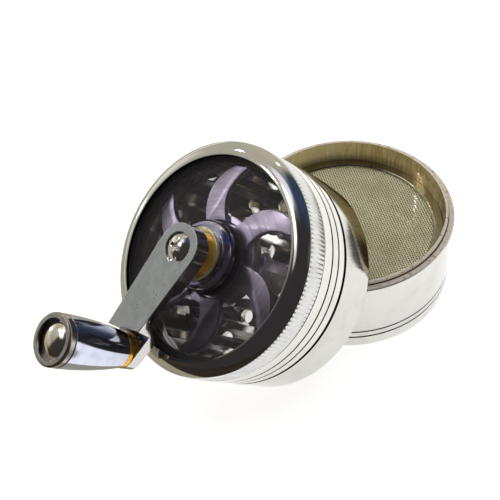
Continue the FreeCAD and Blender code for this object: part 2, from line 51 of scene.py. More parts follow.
knob_reach = Vector(joints["knob_spin"]["pos_m"]) - crank_foot
knob_reach -= lean_axis * knob_reach.dot(lean_axis)
arm_length = knob_reach.length / MM
crank_way = knob_reach.normalized()
across_way = lean_axis.cross(crank_way)
standing = Matrix.Scale(MM, 4)
leaning = Matrix((crank_way, across_way, lean_axis)).transposed().to_4x4() @ Matrix.Scale(MM, 4)
leaning.translation = crank_foot
at_knob = leaning @ Matrix.Translation((arm_length, 0, 0))

# ---------------------------------------------------------------------------
# Camera at the photograph's place. Its place, angles and focal length were fitted to the
# rims, grooves and window circles, so the render lies over the photograph.
camera_place = Vector((0.0, -0.14164879, 0.16752235))
camera_yaw = -0.18700158
camera_pitch = -0.83914702
camera_roll = -0.14721968
focal_pixels = 770.4455
photo_width = 500
ahead = Vector((
    math.sin(camera_yaw) * math.cos(camera_pitch),
    math.cos(camera_yaw) * math.cos(camera_pitch),
    math.sin(camera_pitch)))
level = Vector((math.cos(camera_yaw), -math.sin(camera_yaw), 0))
above = level.cross(ahead)
right = math.cos(camera_roll) * level + math.sin(camera_roll) * above
upward = math.cos(camera_roll) * above - math.sin(camera_roll) * level
camera_data = bpy.data.cameras.new("camera")
camera_data.sensor_width = 36
camera_data.lens = focal_pixels * camera_data.sensor_width / photo_width
camera_data.clip_start = 0.005
camera_data.clip_end = 20
camera = bpy.data.objects.new("camera", camera_data)
camera.matrix_world = Matrix((right, upward, -ahead)).transposed().to_4x4()
camera.location = camera_place
bpy.context.scene.collection.objects.link(camera)
bpy.context.scene.camera = camera
bpy.context.scene.view_settings.view_transform = "Standard"


# ---------------------------------------------------------------------------
# Studio: a plain pale table and a soft tent of light with darker openings in it,
# which the polished metal mirrors. The tent is painted on the world by direction.
class Wire:
    """A socket of a node tree. Sums and products of wires add Math nodes."""

    def __init__(self, graph, socket):
        self.graph = graph
        self.socket = socket

    def __add__(self, other):
        return self.graph.maths("ADD", self, other)

    def __radd__(self, other):
        return self.graph.maths("ADD", other, self)

    def __sub__(self, other):
        return self.graph.maths("SUBTRACT", self, other)

    def __rsub__(self, other):
        return self.graph.maths("SUBTRACT", other, self)

    def __mul__(self, other):
        return self.graph.maths("MULTIPLY", self, other)

    def __truediv__(self, other):
        return self.graph.maths("DIVIDE", self, other)

    def __pow__(self, other):
        return self.graph.maths("POWER", self, other)

    def between(self, low, high):
        """0 below low, 1 above high, smooth in between."""
        return self.graph.node(
            "ShaderNodeMapRange", {"interpolation_type": "SMOOTHSTEP"},
            {"Value": self, "From Min": low, "From Max": high})


class Graph:
    """A node tree of the world, a material or a geometry modifier."""

    def __init__(self, tree):
        self.tree = tree

    def node(self, kind, settings=None, sockets=None, out=0):
        """A node of any type, with its settings and the values or links of its sockets."""
        made = self.tree.nodes.new(kind)
        for key, value in (settings or {}).items():
            setattr(made, key, value)
        for key, value in (sockets or {}).items():
            if isinstance(value, Wire):
                self.tree.links.new(value.socket, made.inputs[key])
            else:
                made.inputs[key].default_value = value
        return Wire(self, made.outputs[out]) if len(made.outputs) else made

    def maths(self, operation, *values):
        """A Math node of that operation."""
        return self.node("ShaderNodeMath", {"operation": operation}, dict(enumerate(values)))

    def blend(self, first, second, share):
        """Mix two colours."""
        return self.node("ShaderNodeMix", {"data_type": "RGBA"}, {0: share, 6: first, 7: second}, 2)

    def noise(self, point, scale, detail=2.0, roughness=0.5):
        """A value between 0 and 1 that wanders over the surface."""
        return self.node(
            "ShaderNodeTexNoise", None,
            {"Vector": point, "Scale": scale, "Detail": detail, "Roughness": roughness})


def heading(azimuth, elevation):
    """Unit vector: azimuth 0 is towards +X, 90 towards +Y; degrees."""
    turn = math.radians(azimuth)
    rise = math.radians(elevation)
    return (math.cos(turn) * math.cos(rise), math.sin(turn) * math.cos(rise), math.sin(rise))


tent_top = (0.24, 0.26, 0.31, 1)
tent_side = (0.55, 0.52, 0.44, 1)
tent_foot = (0.70, 0.68, 0.62, 1)
tent_patches = [
    # azimuth, elevation, half width, softness (degrees), colour
    (60, 30, 40, 14, (0.62, 0.58, 0.46, 1)),
    (32, 66, 30, 6, (0.045, 0.065, 0.13, 1)),
    (150, 0, 18, 8, (0.95, 0.93, 0.86, 1)),
    (-100, 4, 70, 5, (0.060, 0.043, 0.034, 1)),
    (-90, 24, 68, 8, (0.040, 0.037, 0.040, 1)),
    (-27, 50, 7, 5, (0.10, 0.11, 0.15, 1)),
    (174, 22, 14, 7, (0.44, 0.45, 0.43, 1)),
    (152, 62, 10, 3, (1.05, 1.03, 1.15, 1)),
    (199, 56, 5, 3, (0.95, 0.95, 1.0, 1)),
    (187, 56, 6, 2, (2.4, 2.4, 2.4, 1)),
    (174, 57, 6, 2, (3.0, 3.0, 3.0, 1)),
]
world = bpy.data.worlds.new("studio")
bpy.context.scene.world = world
world.use_nodes = True
world.node_tree.nodes.clear()
sky = Graph(world.node_tree)
gaze = sky.node("ShaderNodeTexCoord", out="Generated")
rise = sky.node("ShaderNodeSeparateXYZ", None, {0: gaze}, 2)
tent = sky.blend(tent_foot, tent_side, rise.between(-0.02, 0.06))
tent = sky.blend(tent, tent_top, rise.between(0.75, 0.95))
for azimuth, elevation, width, soft, colour in tent_patches:
    towards = heading(azimuth, elevation)
    near = sky.node("ShaderNodeVectorMath", {"operation": "DOT_PRODUCT"}, {0: gaze, 1: towards}, "Value")
    inner = math.cos(math.radians(max(width - soft, 0)))
    outer = math.cos(math.radians(width + soft))
    tent = sky.blend(tent, colour, near.between(outer, inner))
seen = sky.node("ShaderNodeLightPath", out="Is Camera Ray")
tent = sky.blend(tent, (0.96, 0.96, 0.96, 1), seen)
glow = sky.node("ShaderNodeBackground", None, {"Color": tent, "Strength": 1.0})
sky.node("ShaderNodeOutputWorld", None, {"Surface": glow})


lit_point = Vector((-0.01, -0.01, 0.02))


def softbox(name, azimuth, elevation, distance, size, power, colour):
    """An area light that faces the middle of the object."""
    data = bpy.data.lights.new(name, "AREA")
    data.shape = "RECTANGLE"
    data.size, data.size_y = size
    data.energy = power
    data.color = colour
    lamp = bpy.data.objects.new(name, data)
    away = Vector(heading(azimuth, elevation))
    lamp.location = away * distance + lit_point
    lamp.rotation_euler = away.to_track_quat("Z", "Y").to_euler()
    bpy.context.scene.collection.objects.link(lamp)
    return lamp


key_light = softbox("key_light", 60, 80, 0.8, (0.7, 0.7), 2.8, (1.0, 0.99, 0.96))
key_light.visible_glossy = False
spark_lights = (
    # azimuth, elevation (degrees), watts
    (168, 44, 0.15),
    (158, 8, 0.10),
    (140, 38, 0.08),
    (96, 50, 0.03),
)
for place, (azimuth, elevation, power) in enumerate(spark_lights):
    softbox("spark_light_%d" % place, azimuth, elevation, 0.7, (0.04, 0.03), power, (1.0, 1.0, 1.0))


def floor_sheet(name, height, *plan):
    """A flat sheet on the studio floor; its plan runs counter-clockwise."""
    mesh = bpy.data.meshes.new(name)
    mesh.from_pydata([(x, y, height) for x, y in plan], [], [tuple(range(len(plan)))])
    made = bpy.data.objects.new(name, mesh)
    bpy.context.scene.collection.objects.link(made)
    return made


def studio_paint(name, colour, glow_strength):
    """Matt paint of the studio floor, faintly uneven, lit from behind a little."""
    material = bpy.data.materials.new(name)
    material.use_nodes = True
    material.node_tree.nodes.clear()
    paint = Graph(material.node_tree)
    uneven = paint.noise(paint.node("ShaderNodeTexCoord", out="Object"), 8.0)
    tone = paint.blend(colour, tuple(c * 0.985 for c in colour[:3]) + (1,), uneven)
    surface = paint.node("ShaderNodeBsdfPrincipled", None, {
        "Base Color": tone,
        "Roughness": 0.8,
        "Specular IOR Level": 0.1,
        "Emission Color": (1, 0.995, 0.98, 1),
        "Emission Strength": glow_strength,
    })
    paint.node("ShaderNodeOutputMaterial", None, {"Surface": surface})
    return material


# The pale table is what the camera sees. In front of the object, below the camera, the
# metal mirrors a dark cloth instead, which gives the polished walls their dark edges, on
# the left a tan one, and behind the cup on the right a small dark card.
far = 3
front_edge = -0.080
left_edge = -0.05
back_edge = 0.4
table_top = floor_sheet("table_top", -0.0001, (-far, -far), (far, -far), (far, far), (-far, far))
table_top.data.materials.append(studio_paint("pale_table", (0.70, 0.695, 0.68, 1), 0.83))
dark_paint = studio_paint("dark_cloth", (0.055, 0.042, 0.033, 1), 0.0)
dark_cloth = floor_sheet(
    "dark_cloth", 0.0, (-far, -far), (far, -far), (far, front_edge), (-far, front_edge))
dark_cloth.data.materials.append(dark_paint)
tan_cloth = floor_sheet(
    "tan_cloth", 0.0, (-far, front_edge), (left_edge, front_edge), (left_edge, back_edge), (-far, back_edge))
tan_cloth.data.materials.append(studio_paint("tan_cloth", (0.66, 0.61, 0.47, 1), 0.05))
dark_card = floor_sheet(
    "dark_card", 0.0, (0.050, -0.003), (0.062, -0.001), (0.070, 0.004), (0.076, 0.012), (0.080, 0.020),
    (0.0825, 0.034), (0.0815, 0.045), (0.076, 0.054), (0.066, 0.061), (0.050, 0.066))
dark_card.data.materials.append(dark_paint)
for cloth in (dark_cloth, tan_cloth, dark_card):
    cloth.visible_camera = False
    cloth.visible_diffuse = False
    cloth.visible_shadow = False


# ---------------------------------------------------------------------------
# Catch pan: a shallow pan turned from bar and polished all over, with a neck that the
# sifter slips over. Every edge is eased, because a turned shell has no sharp corner.
def eased(outline, closed):
    """Round the corners of an outline. A corner is (r, z) if sharp, or (r, z, ease)."""
    points = []
    count = len(outline)
    for k, corner in enumerate(outline):
        here = Vector(corner[:2])
        ease = corner[2] if len(corner) > 2 else 0
        if not ease or (not closed and k in (0, count - 1)):
            points.append(tuple(here))
            continue
        # Each side of the corner gives at most 0.42 of its length to the curve.
        before = Vector(outline[k - 1][:2]) - here
        after = Vector(outline[(k + 1) % count][:2]) - here
        reach = min(ease, 0.42 * before.length, 0.42 * after.length)
        start = here + before.normalized() * reach
        end = here + after.normalized() * reach
        lead = min(0.15 * reach, 0.04)
        points.append(tuple(start + before.normalized() * lead))
        for step in range(6):
            t = step / 5
            spot = start * (1 - t) ** 2 + here * 2 * t * (1 - t) + end * t ** 2
            points.append(tuple(spot))
        points.append(tuple(end + after.normalized() * lead))
    return points


def shaded(mesh, finish, crease=38):
    """Smooth shading with creases, and the finish."""
    mesh.shade_smooth()
    mesh.set_sharp_from_angle(angle=math.radians(crease))
    if finish is not None:
        mesh.materials.clear()
        mesh.materials.append(finish)
    return mesh


def shown(name, mesh):
    """Put a finished mesh in the scene."""
    made = bpy.data.objects.new(name, mesh)
    bpy.context.scene.collection.objects.link(made)
    return made


def turned(name, outline, place, finish, around=240, closed=True):
    """Turn an outline of (radius, height) round the axis."""
    outline = eased(outline, closed)
    work = bmesh.new()
    rings = []
    for r, z in outline:
        if r < 1e-6:
            rings.append([work.verts.new((0, 0, z))] * around)
            continue
        turn = 2 * math.pi / around
        rings.append([
            work.verts.new((r * math.cos(k * turn), r * math.sin(k * turn), z)) for k in range(around)])
    pairs = list(zip(rings, rings[1:] + rings[:1]))
    for low, high in pairs if closed else pairs[:-1]:
        for k in range(around):
            corners = [low[k], low[(k + 1) % around], high[(k + 1) % around], high[k]]
            kept = [c for i, c in enumerate(corners) if c is not corners[i - 1]]
            if len(kept) > 2:
                work.faces.new(kept)
    bmesh.ops.remove_doubles(work, verts=work.verts, dist=1e-5)
    bmesh.ops.recalc_face_normals(work, faces=work.faces)
    mesh = bpy.data.meshes.new(name)
    work.to_mesh(mesh)
    work.free()
    mesh.transform(place)
    return shown(name, shaded(mesh, finish))


class Finish(Graph):
    """A material's node tree in the piece's own millimetres."""

    def __init__(self, name, place):
        self.material = bpy.data.materials.new(name)
        self.material.use_nodes = True
        super().__init__(self.material.node_tree)
        self.tree.nodes.clear()
        spot, turn, size = place.decompose()
        flat = self.node("ShaderNodeTexCoord", out="Object")
        self.point = self.node(
            "ShaderNodeMapping", {"vector_type": "TEXTURE"},
            {"Vector": flat, "Location": spot, "Rotation": turn.to_euler(), "Scale": size})
        self.x = self.node("ShaderNodeSeparateXYZ", None, {0: self.point}, 0)
        self.y = self.node("ShaderNodeSeparateXYZ", None, {0: self.point}, 1)
        self.z = self.node("ShaderNodeSeparateXYZ", None, {0: self.point}, 2)
        self.r = (self.x * self.x + self.y * self.y) ** 0.5

    def lathe_marks(self, pitch, detail=3.0):
        """Noise that runs round the axis, as a turning tool leaves it."""
        across = (self.r + self.z * 1.7) / pitch
        round_x = self.x / (self.r + 0.2)
        round_y = self.y / (self.r + 0.2)
        point = self.node("ShaderNodeCombineXYZ", None, {0: across, 1: round_x * 0.7, 2: round_y * 0.7})
        return self.noise(point, 1.0, detail, 0.65)

    def smudges(self, size):
        """Large soft noise, as from handling and wiping."""
        return self.noise(self.point, 1.0 / size, 3.0, 0.6)

    def bump(self, height, strength, depth, under=None):
        """A relief of that depth in millimetres."""
        sockets = {"Height": height, "Strength": strength, "Distance": depth * MM}
        if under is not None:
            sockets["Normal"] = under
        return self.node("ShaderNodeBump", None, sockets)

    def surface(self, colour, roughness, normal, metallic=1.0, **more):
        """The finished material. Further sockets are named with underscores for spaces."""
        sockets = {"Base Color": colour, "Metallic": metallic, "Roughness": roughness}
        if normal is not None:
            sockets["Normal"] = normal
        sockets.update({label.replace("_", " "): value for label, value in more.items()})
        shader = self.node("ShaderNodeBsdfPrincipled", None, sockets)
        self.node("ShaderNodeOutputMaterial", None, {"Surface": shader})
        return self.material


def polished_shell(
        name, place, bright=(0.69, 0.68, 0.645, 1), dull=(0.63, 0.615, 0.57, 1), grooves=(), inside=None):
    """Polished and plated: mirror-like, with faint turning marks and wiped smudges. The
    bottoms of the grooves, which are given by their heights, are painted near black."""
    shell = Finish(name, place)
    marks = shell.lathe_marks(0.35)
    wiped = shell.smudges(7)
    colour = shell.blend(bright, dull, wiped.between(0.42, 0.75))
    scratches = shell.lathe_marks(0.11, 5.0).between(0.62, 0.78)
    roughness = 0.03 + wiped * 0.05 + marks * 0.03 + scratches * 0.04
    # The bottoms of the grooves are painted near black.
    for height in grooves:
        deep = shell.r.between(26.9, 27.1) * (1 - shell.r.between(27.42, 27.495))
        deep = deep * shell.z.between(height - 0.34, height - 0.27)
        deep = deep * (1 - shell.z.between(height + 0.27, height + 0.34))
        colour = shell.blend(colour, (0.012, 0.010, 0.010, 1), deep)
        roughness = roughness + deep * 0.4
    metallic = 1.0
    if inside:
        colour, roughness, metallic = inside(shell, colour, roughness)
    relief = shell.bump(marks, 0.10, 0.010)
    waves = shell.bump(shell.noise(shell.point, 0.10, 1.0), 0.2, 0.08, relief)
    return shell.surface(colour, roughness, waves, metallic)


body_radius = 27.5
pan_wall_top = 3.9
pan_neck_radius = 25.7
pan_neck_inner = 24.3
pan_neck_top = 9.5
pan_floor = 1.3
catch_pan = turned("catch_pan_body", [
    (0, 0),
    (body_radius, 0, 0.9),
    (body_radius, pan_wall_top, 0.14),
    (pan_neck_radius, pan_wall_top, 0.1),
    (pan_neck_radius, pan_neck_top, 0.2),
    (pan_neck_inner, pan_neck_top, 0.2),
    (pan_neck_inner, pan_floor, 1.0),
    (0, pan_floor),
], standing, polished_shell("pan_polish", standing), closed=False)
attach(catch_pan, "pan")
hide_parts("catch_pan")

# ---------------------------------------------------------------------------
# Sifter cup: turned middle ring with a polished bore, a ledge for the screen and a
# stepped rim. A fine groove runs round it low down. Its bore mirrors warm olive.
groove_half = 0.225
groove_depth = 0.35
cup_low = 4.35
cup_groove = 6.25
cup_top = 23.85
cup_step = cup_top - 1.0
cup_bore = 25.15
spigot_radius = 25.9
neck_bore = 26.0
neck_seat = 9.6
ledge_inner = 22.95
ledge_under = 15.1
screen_under = 16.5


def groove(height):
    """Corners of one shallow groove in a shell's outer wall, from below."""
    floor = body_radius - groove_depth
    return [
        (body_radius, height - groove_half, 0.07),
        (floor, height - groove_half, 0.1),
        (floor, height + groove_half, 0.1),
        (body_radius, height + groove_half, 0.07),
    ]


def olive_bore(shell, colour, roughness):
    """The bore's plating is warmer and duller than the outside, with streaks down the wall."""
    inside = (1 - shell.r.between(25.3, 25.7)) * shell.z.between(16.4, 16.6)
    upright = shell.node(
        "ShaderNodeCombineXYZ", None, {0: shell.x * 2.2, 1: shell.y * 2.2, 2: shell.z * 0.12})
    streaks = shell.noise(upright, 1.0, 3.0, 0.6)
    olive = shell.blend((0.84, 0.71, 0.39, 1), (0.47, 0.37, 0.20, 1), streaks.between(0.35, 0.65))
    # Painted light: the bore is painted paler towards -X.
    lit_olive = shell.blend((1.0, 0.93, 0.64, 1), (0.90, 0.79, 0.47, 1), streaks.between(0.35, 0.65))
    olive = shell.blend(lit_olive, olive, (shell.x - shell.y * 0.4).between(-24.0, 6.0))
    # The side that faces away from the light is painted dark as shade.
    bore_shade = (1 - shell.y.between(-6.0, 12.0)) * shell.x.between(-8.0, 8.0)
    olive = shell.blend(olive, (0.09, 0.07, 0.035, 1), bore_shade)
    colour = shell.blend(colour, olive, inside)
    roughness = roughness + inside * (0.13 + streaks * 0.12)
    # The rim is left satin, and the corner at the foot of its step is painted near black as shade.
    rim = shell.z.between(22.45, 22.75) * shell.r.between(25.15, 25.3)
    worn = shell.noise(shell.point, 0.8, 3.0, 0.65).between(0.52, 0.68)
    satin = shell.blend((0.90, 0.83, 0.72, 1), (0.42, 0.26, 0.20, 1), worn * 0.7)
    colour = shell.blend(colour, satin, rim)
    # Painted shadow in the corner at the foot of the step.
    step_shadow = rim * (1 - shell.z.between(22.95, 23.1)) * (1 - shell.r.between(26.05, 26.2))
    colour = shell.blend(colour, (0.012, 0.010, 0.009, 1), step_shadow)
    return colour, roughness + rim * 0.28 + step_shadow * 0.3, 1 - inside * (1 - bore_shade) * 0.6 - rim * 0.55


sifter_cup = turned(
    "sifter_cup",
    [(neck_bore, cup_low, 0.1), (body_radius, cup_low, 0.14)] + groove(cup_groove) + [
        (body_radius, cup_step, 1.75),
        (spigot_radius, cup_step, 0.08),
        (spigot_radius, cup_top, 0.22),
        (cup_bore, cup_top, 0.22),
        (cup_bore, screen_under, 0.05),
        (ledge_inner, screen_under, 0.15),
        (ledge_inner, ledge_under, 0.2),
        (24.2, ledge_under, 0.3),
        (24.2, neck_seat, 0.2),
        (neck_bore, neck_seat, 0.1),
    ],
    standing, polished_shell(
        "sifter_polish", standing, (0.655, 0.65, 0.63, 1), (0.60, 0.59, 0.56, 1), (cup_groove,), olive_bore))
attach(sifter_cup, "sifter")
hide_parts("sifter_ring")

# ---------------------------------------------------------------------------
# Woven screen: plain weave of fine steel wire, each wire passing over and under the
# next. The tree weaves one direction of wires and turns a copy of it by a right angle.
screen_pitch = 0.64
wire_radius = 0.155
wire_wave = 0.085
wires_each_way = 79
screen_middle = 16.65
screen_radius = 24.9
weave_turn = math.radians(16)


def geometry_tree(name, inputs):
    """A geometry node tree with named inputs: (name, socket type)."""
    tree = bpy.data.node_groups.new(name, "GeometryNodeTree")
    tree.interface.new_socket("Geometry", in_out="OUTPUT", socket_type="NodeSocketGeometry")
    for label, kind in [("Geometry", "NodeSocketGeometry")] + inputs:
        tree.interface.new_socket(label, in_out="INPUT", socket_type=kind)
    return Graph(tree)


def grown(graph, base, values):
    """Run a geometry tree on a mesh and return its result as a plain mesh."""
    holder = bpy.data.objects.new("holder", base)
    bpy.context.scene.collection.objects.link(holder)
    modifier = holder.modifiers.new("grow", "NODES")
    modifier.node_group = graph.tree
    for item in graph.tree.interface.items_tree:
        if item.in_out == "INPUT" and item.name in values:
            modifier[item.identifier] = values[item.name]
    ready = holder.evaluated_get(bpy.context.evaluated_depsgraph_get())
    mesh = bpy.data.meshes.new_from_object(ready)
    holder.modifiers.remove(modifier)
    bpy.data.objects.remove(holder)
    return mesh


weave = geometry_tree("plain_weave", [
    ("Pitch", "NodeSocketFloat"),
    ("Wires", "NodeSocketInt"),
    ("Trim", "NodeSocketFloat"),
    ("Wire Radius", "NodeSocketFloat"),
    ("Wave", "NodeSocketFloat"),
    ("Finish", "NodeSocketMaterial"),
])
weave_in = {
    name: weave.node("NodeGroupInput", out=name)
    for name in ("Pitch", "Wires", "Trim", "Wire Radius", "Wave", "Finish")}
half_span = weave_in["Pitch"] * (weave_in["Wires"] - 1) / 2
first_place = weave.node("ShaderNodeCombineXYZ", None, {1: half_span * -1})
next_place = weave.node("ShaderNodeCombineXYZ", None, {1: weave_in["Pitch"]})
rows = weave.node(
    "GeometryNodeMeshLine", None,
    {"Count": weave_in["Wires"], "Start Location": first_place, "Offset": next_place})
wire_start = weave.node("ShaderNodeCombineXYZ", None, {0: half_span * -1})
wire_end = weave.node("ShaderNodeCombineXYZ", None, {0: half_span})
wire = weave.node("GeometryNodeCurvePrimitiveLine", None, {"Start": wire_start, "End": wire_end})
wire = weave.node("GeometryNodeResampleCurve", None, {"Curve": wire, "Count": weave_in["Wires"]})
wires = weave.node("GeometryNodeInstanceOnPoints", None, {"Points": rows, "Instance": wire})
wires = weave.node("GeometryNodeRealizeInstances", None, {"Geometry": wires})
spot = weave.node("GeometryNodeInputPosition")
spot_x = weave.node("ShaderNodeSeparateXYZ", None, {0: spot}, 0)
spot_y = weave.node("ShaderNodeSeparateXYZ", None, {0: spot}, 1)
over = weave.maths("COSINE", spot_x / weave_in["Pitch"] * math.pi)
under = weave.maths("COSINE", spot_y / weave_in["Pitch"] * math.pi)
outside = weave.maths(
    "GREATER_THAN", spot_x * spot_x + spot_y * spot_y, weave_in["Trim"] * weave_in["Trim"])
wires = weave.node(
    "GeometryNodeDeleteGeometry", {"domain": "POINT"}, {"Geometry": wires, "Selection": outside})
section = weave.node(
    "GeometryNodeCurvePrimitiveCircle", None, {"Resolution": 4, "Radius": weave_in["Wire Radius"]})
layers = []
for sign, turn in ((1, 0.0), (-1, math.pi / 2)):
    lift = weave.node("ShaderNodeCombineXYZ", None, {2: over * under * weave_in["Wave"] * sign})
    wavy = weave.node("GeometryNodeSetPosition", None, {"Geometry": wires, "Offset": lift})
    solid = weave.node(
        "GeometryNodeCurveToMesh", None, {"Curve": wavy, "Profile Curve": section, "Fill Caps": True})
    layers.append(weave.node("GeometryNodeTransform", None, {"Geometry": solid, "Rotation": (0, 0, turn)}))
woven = weave.tree.nodes.new("GeometryNodeJoinGeometry")
for layer in layers:
    weave.tree.links.new(layer.socket, woven.inputs[0])
woven = weave.node("GeometryNodeRealizeInstances", None, {"Geometry": Wire(weave, woven.outputs[0])})
woven = weave.node("GeometryNodeSetMaterial", None, {"Geometry": woven, "Material": weave_in["Finish"]})
weave.node("NodeGroupOutput", None, {0: woven})

steel_wire = Finish("steel_wire", standing)
wire_tone = steel_wire.smudges(5)
wire_finish = steel_wire.surface(
    steel_wire.blend((0.98, 0.93, 0.66, 1), (0.86, 0.80, 0.54, 1), wire_tone.between(0.35, 0.7)),
    0.65 + wire_tone * 0.15, None, 0.0, Specular_IOR_Level=0.3)
woven_mesh = grown(weave, bpy.data.meshes.new("screen_seed"), {
    "Pitch": screen_pitch,
    "Wires": wires_each_way,
    "Trim": screen_radius,
    "Wire Radius": wire_radius,
    "Wave": wire_wave,
    "Finish": wire_finish,
})
woven_mesh.transform(Matrix.Translation((0, 0, screen_middle)) @ Matrix.Rotation(weave_turn, 4, "Z"))
woven_mesh.transform(standing)
woven_mesh.shade_smooth()
woven_screen = shown("woven_screen", woven_mesh)
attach(woven_screen, "sifter")
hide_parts("sifter_screen")


# ---------------------------------------------------------------------------
# Screen ring: flat steel ring, left satin from the lathe. It is pressed into the cup's
# bore on top of the screen's edge and holds the screen down on the ledge.
def satin_steel(name, place, bright, dull, roughness=0.3):
    """Steel left as the tool or the polishing wheel left it."""
    steel = Finish(name, place)
    marks = steel.lathe_marks(0.25, 4.0)
    wiped = steel.smudges(4)
    colour = steel.blend(bright, dull, wiped.between(0.35, 0.7))
    rough = roughness - 0.08 + wiped * 0.1 + marks * 0.1
    return steel.surface(colour, rough, steel.bump(marks, 0.4, 0.015))


ring_under = 16.8
ring_top = 17.5
ring_outer = 25.1
ring_inner = 22.55
screen_ring = turned("screen_clamp_ring", [
    (ring_inner, ring_under, 0.05),
    (ring_outer, ring_under, 0.05),
    (ring_outer, ring_top, 0.1),
    (ring_inner + 0.35, ring_top, 0.2),
    (ring_inner, ring_top - 0.35, 0.15),
], standing, satin_steel("ring_satin", standing, (0.50, 0.46, 0.34, 1), (0.38, 0.34, 0.24, 1), 0.14))
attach(screen_ring, "sifter")
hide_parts("screen_retaining_ring")


# ---------------------------------------------------------------------------
# Grinding chamber: turned shell with a skirt that drops over the sifter's rim, and a
# neck with a nylon ring that the lid closes on. A plate with teeth is pressed into it.
def dark_neck(shell, colour, roughness):
    """The neck and the shoulder under the lid are painted near black as shade in the gap, the bowl is dull.
    """
    # Painted shade where the gap under the lid shows the neck and shoulder.
    gap_shade = shell.z.between(11.20, 11.30) * shell.r.between(25.3, 25.4)
    bowl = shell.z.between(7.0, 7.4) * (1 - shell.r.between(24.2, 24.4))
    return shell.blend(colour, (0.02, 0.018, 0.018, 1), gap_shade), roughness + gap_shade * 0.4, 1 - bowl * 0.4


skirt_inner = 26.2
chamber_wall_top = 11.55
lid_neck_radius = 25.6
lid_neck_top = 16.95
nylon_seat = 25.1
nylon_low = 13.6
nylon_top = 14.8
bowl_radius = 24.0
plate_ledge = 23.2
plate_low = 5.45
plate_seat = 6.25
chamber_shell = turned("chamber_shell", [
    (skirt_inner, 0, 0.15),
    (body_radius, 0, 0.9),
    (body_radius, chamber_wall_top, 0.34),
    (lid_neck_radius, chamber_wall_top, 0.1),
    (lid_neck_radius, nylon_low, 0.05),
    (nylon_seat, nylon_low, 0.05),
    (nylon_seat, nylon_top, 0.05),
    (lid_neck_radius, nylon_top, 0.05),
    (lid_neck_radius, lid_neck_top, 0.25),
    (bowl_radius, lid_neck_top, 0.2),
    (bowl_radius, plate_seat, 0.1),
    (plate_ledge, plate_seat, 0.1),
    (plate_ledge, plate_low, 0.1),
    (skirt_inner, plate_low, 0.3),
], leaning, polished_shell(
    "chamber_polish", leaning, (0.62, 0.61, 0.58, 1), (0.56, 0.545, 0.51, 1), inside=dark_neck))
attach(chamber_shell, "chamber")
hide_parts("grinding_chamber")


# ---------------------------------------------------------------------------
# Nylon ring: milky, slightly glossy and faintly mottled. It is snapped into the groove
# of the chamber's neck, and the lid drags on it when it is closed.
def refinish(node, finish):
    """Give a CAD solid that stays a finish of its own."""
    kept = frame["nodes"][node]
    kept.data.materials.clear()
    kept.data.materials.append(finish)
    return kept


nylon = Finish("milky_nylon", leaning)
nylon_tone = nylon.smudges(2)
refinish("chamber_friction_ring", nylon.surface(
    nylon.blend((0.86, 0.86, 0.83, 1), (0.76, 0.76, 0.72, 1), nylon_tone),
    0.35 + nylon_tone * 0.2,
    nylon.bump(nylon.noise(nylon.point, 3.0), 0.2, 0.02),
    0.0, Subsurface_Weight=0.2, Subsurface_Scale=0.001))


# ---------------------------------------------------------------------------
# Lid shell: turned and polished ring with two fine grooves, a smooth band, a knurled
# band and a rounded bezel that holds the window down.
def through(first, middle, last, steps):
    """Points of the circle through three points, from the first to the last."""
    ax, ay = first
    bx, by = middle
    cx, cy = last
    d = 2 * (ax * (by - cy) + bx * (cy - ay) + cx * (ay - by))
    aa, bb, cc = ax * ax + ay * ay, bx * bx + by * by, cx * cx + cy * cy
    x = (aa * (by - cy) + bb * (cy - ay) + cc * (ay - by)) / d
    y = (aa * (cx - bx) + bb * (ax - cx) + cc * (bx - ax)) / d
    radius = math.hypot(ax - x, ay - y)
    start = math.atan2(ay - y, ax - x)
    half = (math.atan2(by - y, bx - x) - start + math.pi) % (2 * math.pi) - math.pi
    rest = math.atan2(cy - y, cx - x) - math.atan2(by - y, bx - x)
    sweep = half + (rest + math.pi) % (2 * math.pi) - math.pi
    return [
        (x + radius * math.cos(start + sweep * k / steps), y + radius * math.sin(start + sweep * k / steps))
        for k in range(steps + 1)]


def dark_mouth(shell, colour, roughness):
    """The lid's lower face and the brim over the window's gasket are painted near black as shade in the
    gaps.
    """
    # Painted shade in the gap under the lid and under the bezel's brim.
    gap_shade = 1 - shell.z.between(12.24, 12.34)
    brim = (1 - shell.r.between(23.62, 23.72)) * shell.z.between(26.9, 27.1)
    gap_shade = shell.maths("MAXIMUM", gap_shade, brim)
    return shell.blend(colour, (0.02, 0.018, 0.018, 1), gap_shade), roughness + gap_shade * 0.4, 1.0


lid_low = 12.0
lid_grooves = (14.72, 17.37)
knurl_low = 20.7
knurl_high = 26.1
knurl_floor = 27.42
bezel_inner = 23.55
lid_top = 28.05
lid_mouth = 26.25
lid_bore = 25.0
lid_shoulder = 17.05
window_seat = 27.2
bezel_curve = through((27.4, 26.2), (25.8, 27.48), (bezel_inner, lid_top), 14)
lid_shell = turned(
    "lid_shell",
    [(lid_mouth, lid_low, 0.1), (body_radius, lid_low, 0.34)]
    + groove(lid_grooves[0]) + groove(lid_grooves[1]) + [
        (body_radius, knurl_low - 0.15, 0.12),
        (knurl_floor, knurl_low),
        (knurl_floor, knurl_high),
    ] + bezel_curve[:-1] + [
        (bezel_inner, lid_top, 0.16),
        (bezel_inner, window_seat, 0.1),
        (lid_bore, window_seat, 0.05),
        (lid_bore, lid_shoulder, 0.1),
        (lid_mouth, lid_shoulder, 0.1),
    ],
    leaning, polished_shell("lid_polish", leaning, grooves=lid_grooves, inside=dark_mouth))
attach(lid_shell, "lid")
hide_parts("lid_ring")

# ---------------------------------------------------------------------------
# Knurl: 172 straight rounded ribs, rolled into the lid's band. One rib is made, and the
# tree sets its copies round the axis. The same tree places teeth and rotor arms.
knurl_ribs = 172
rib_proud = 0.16

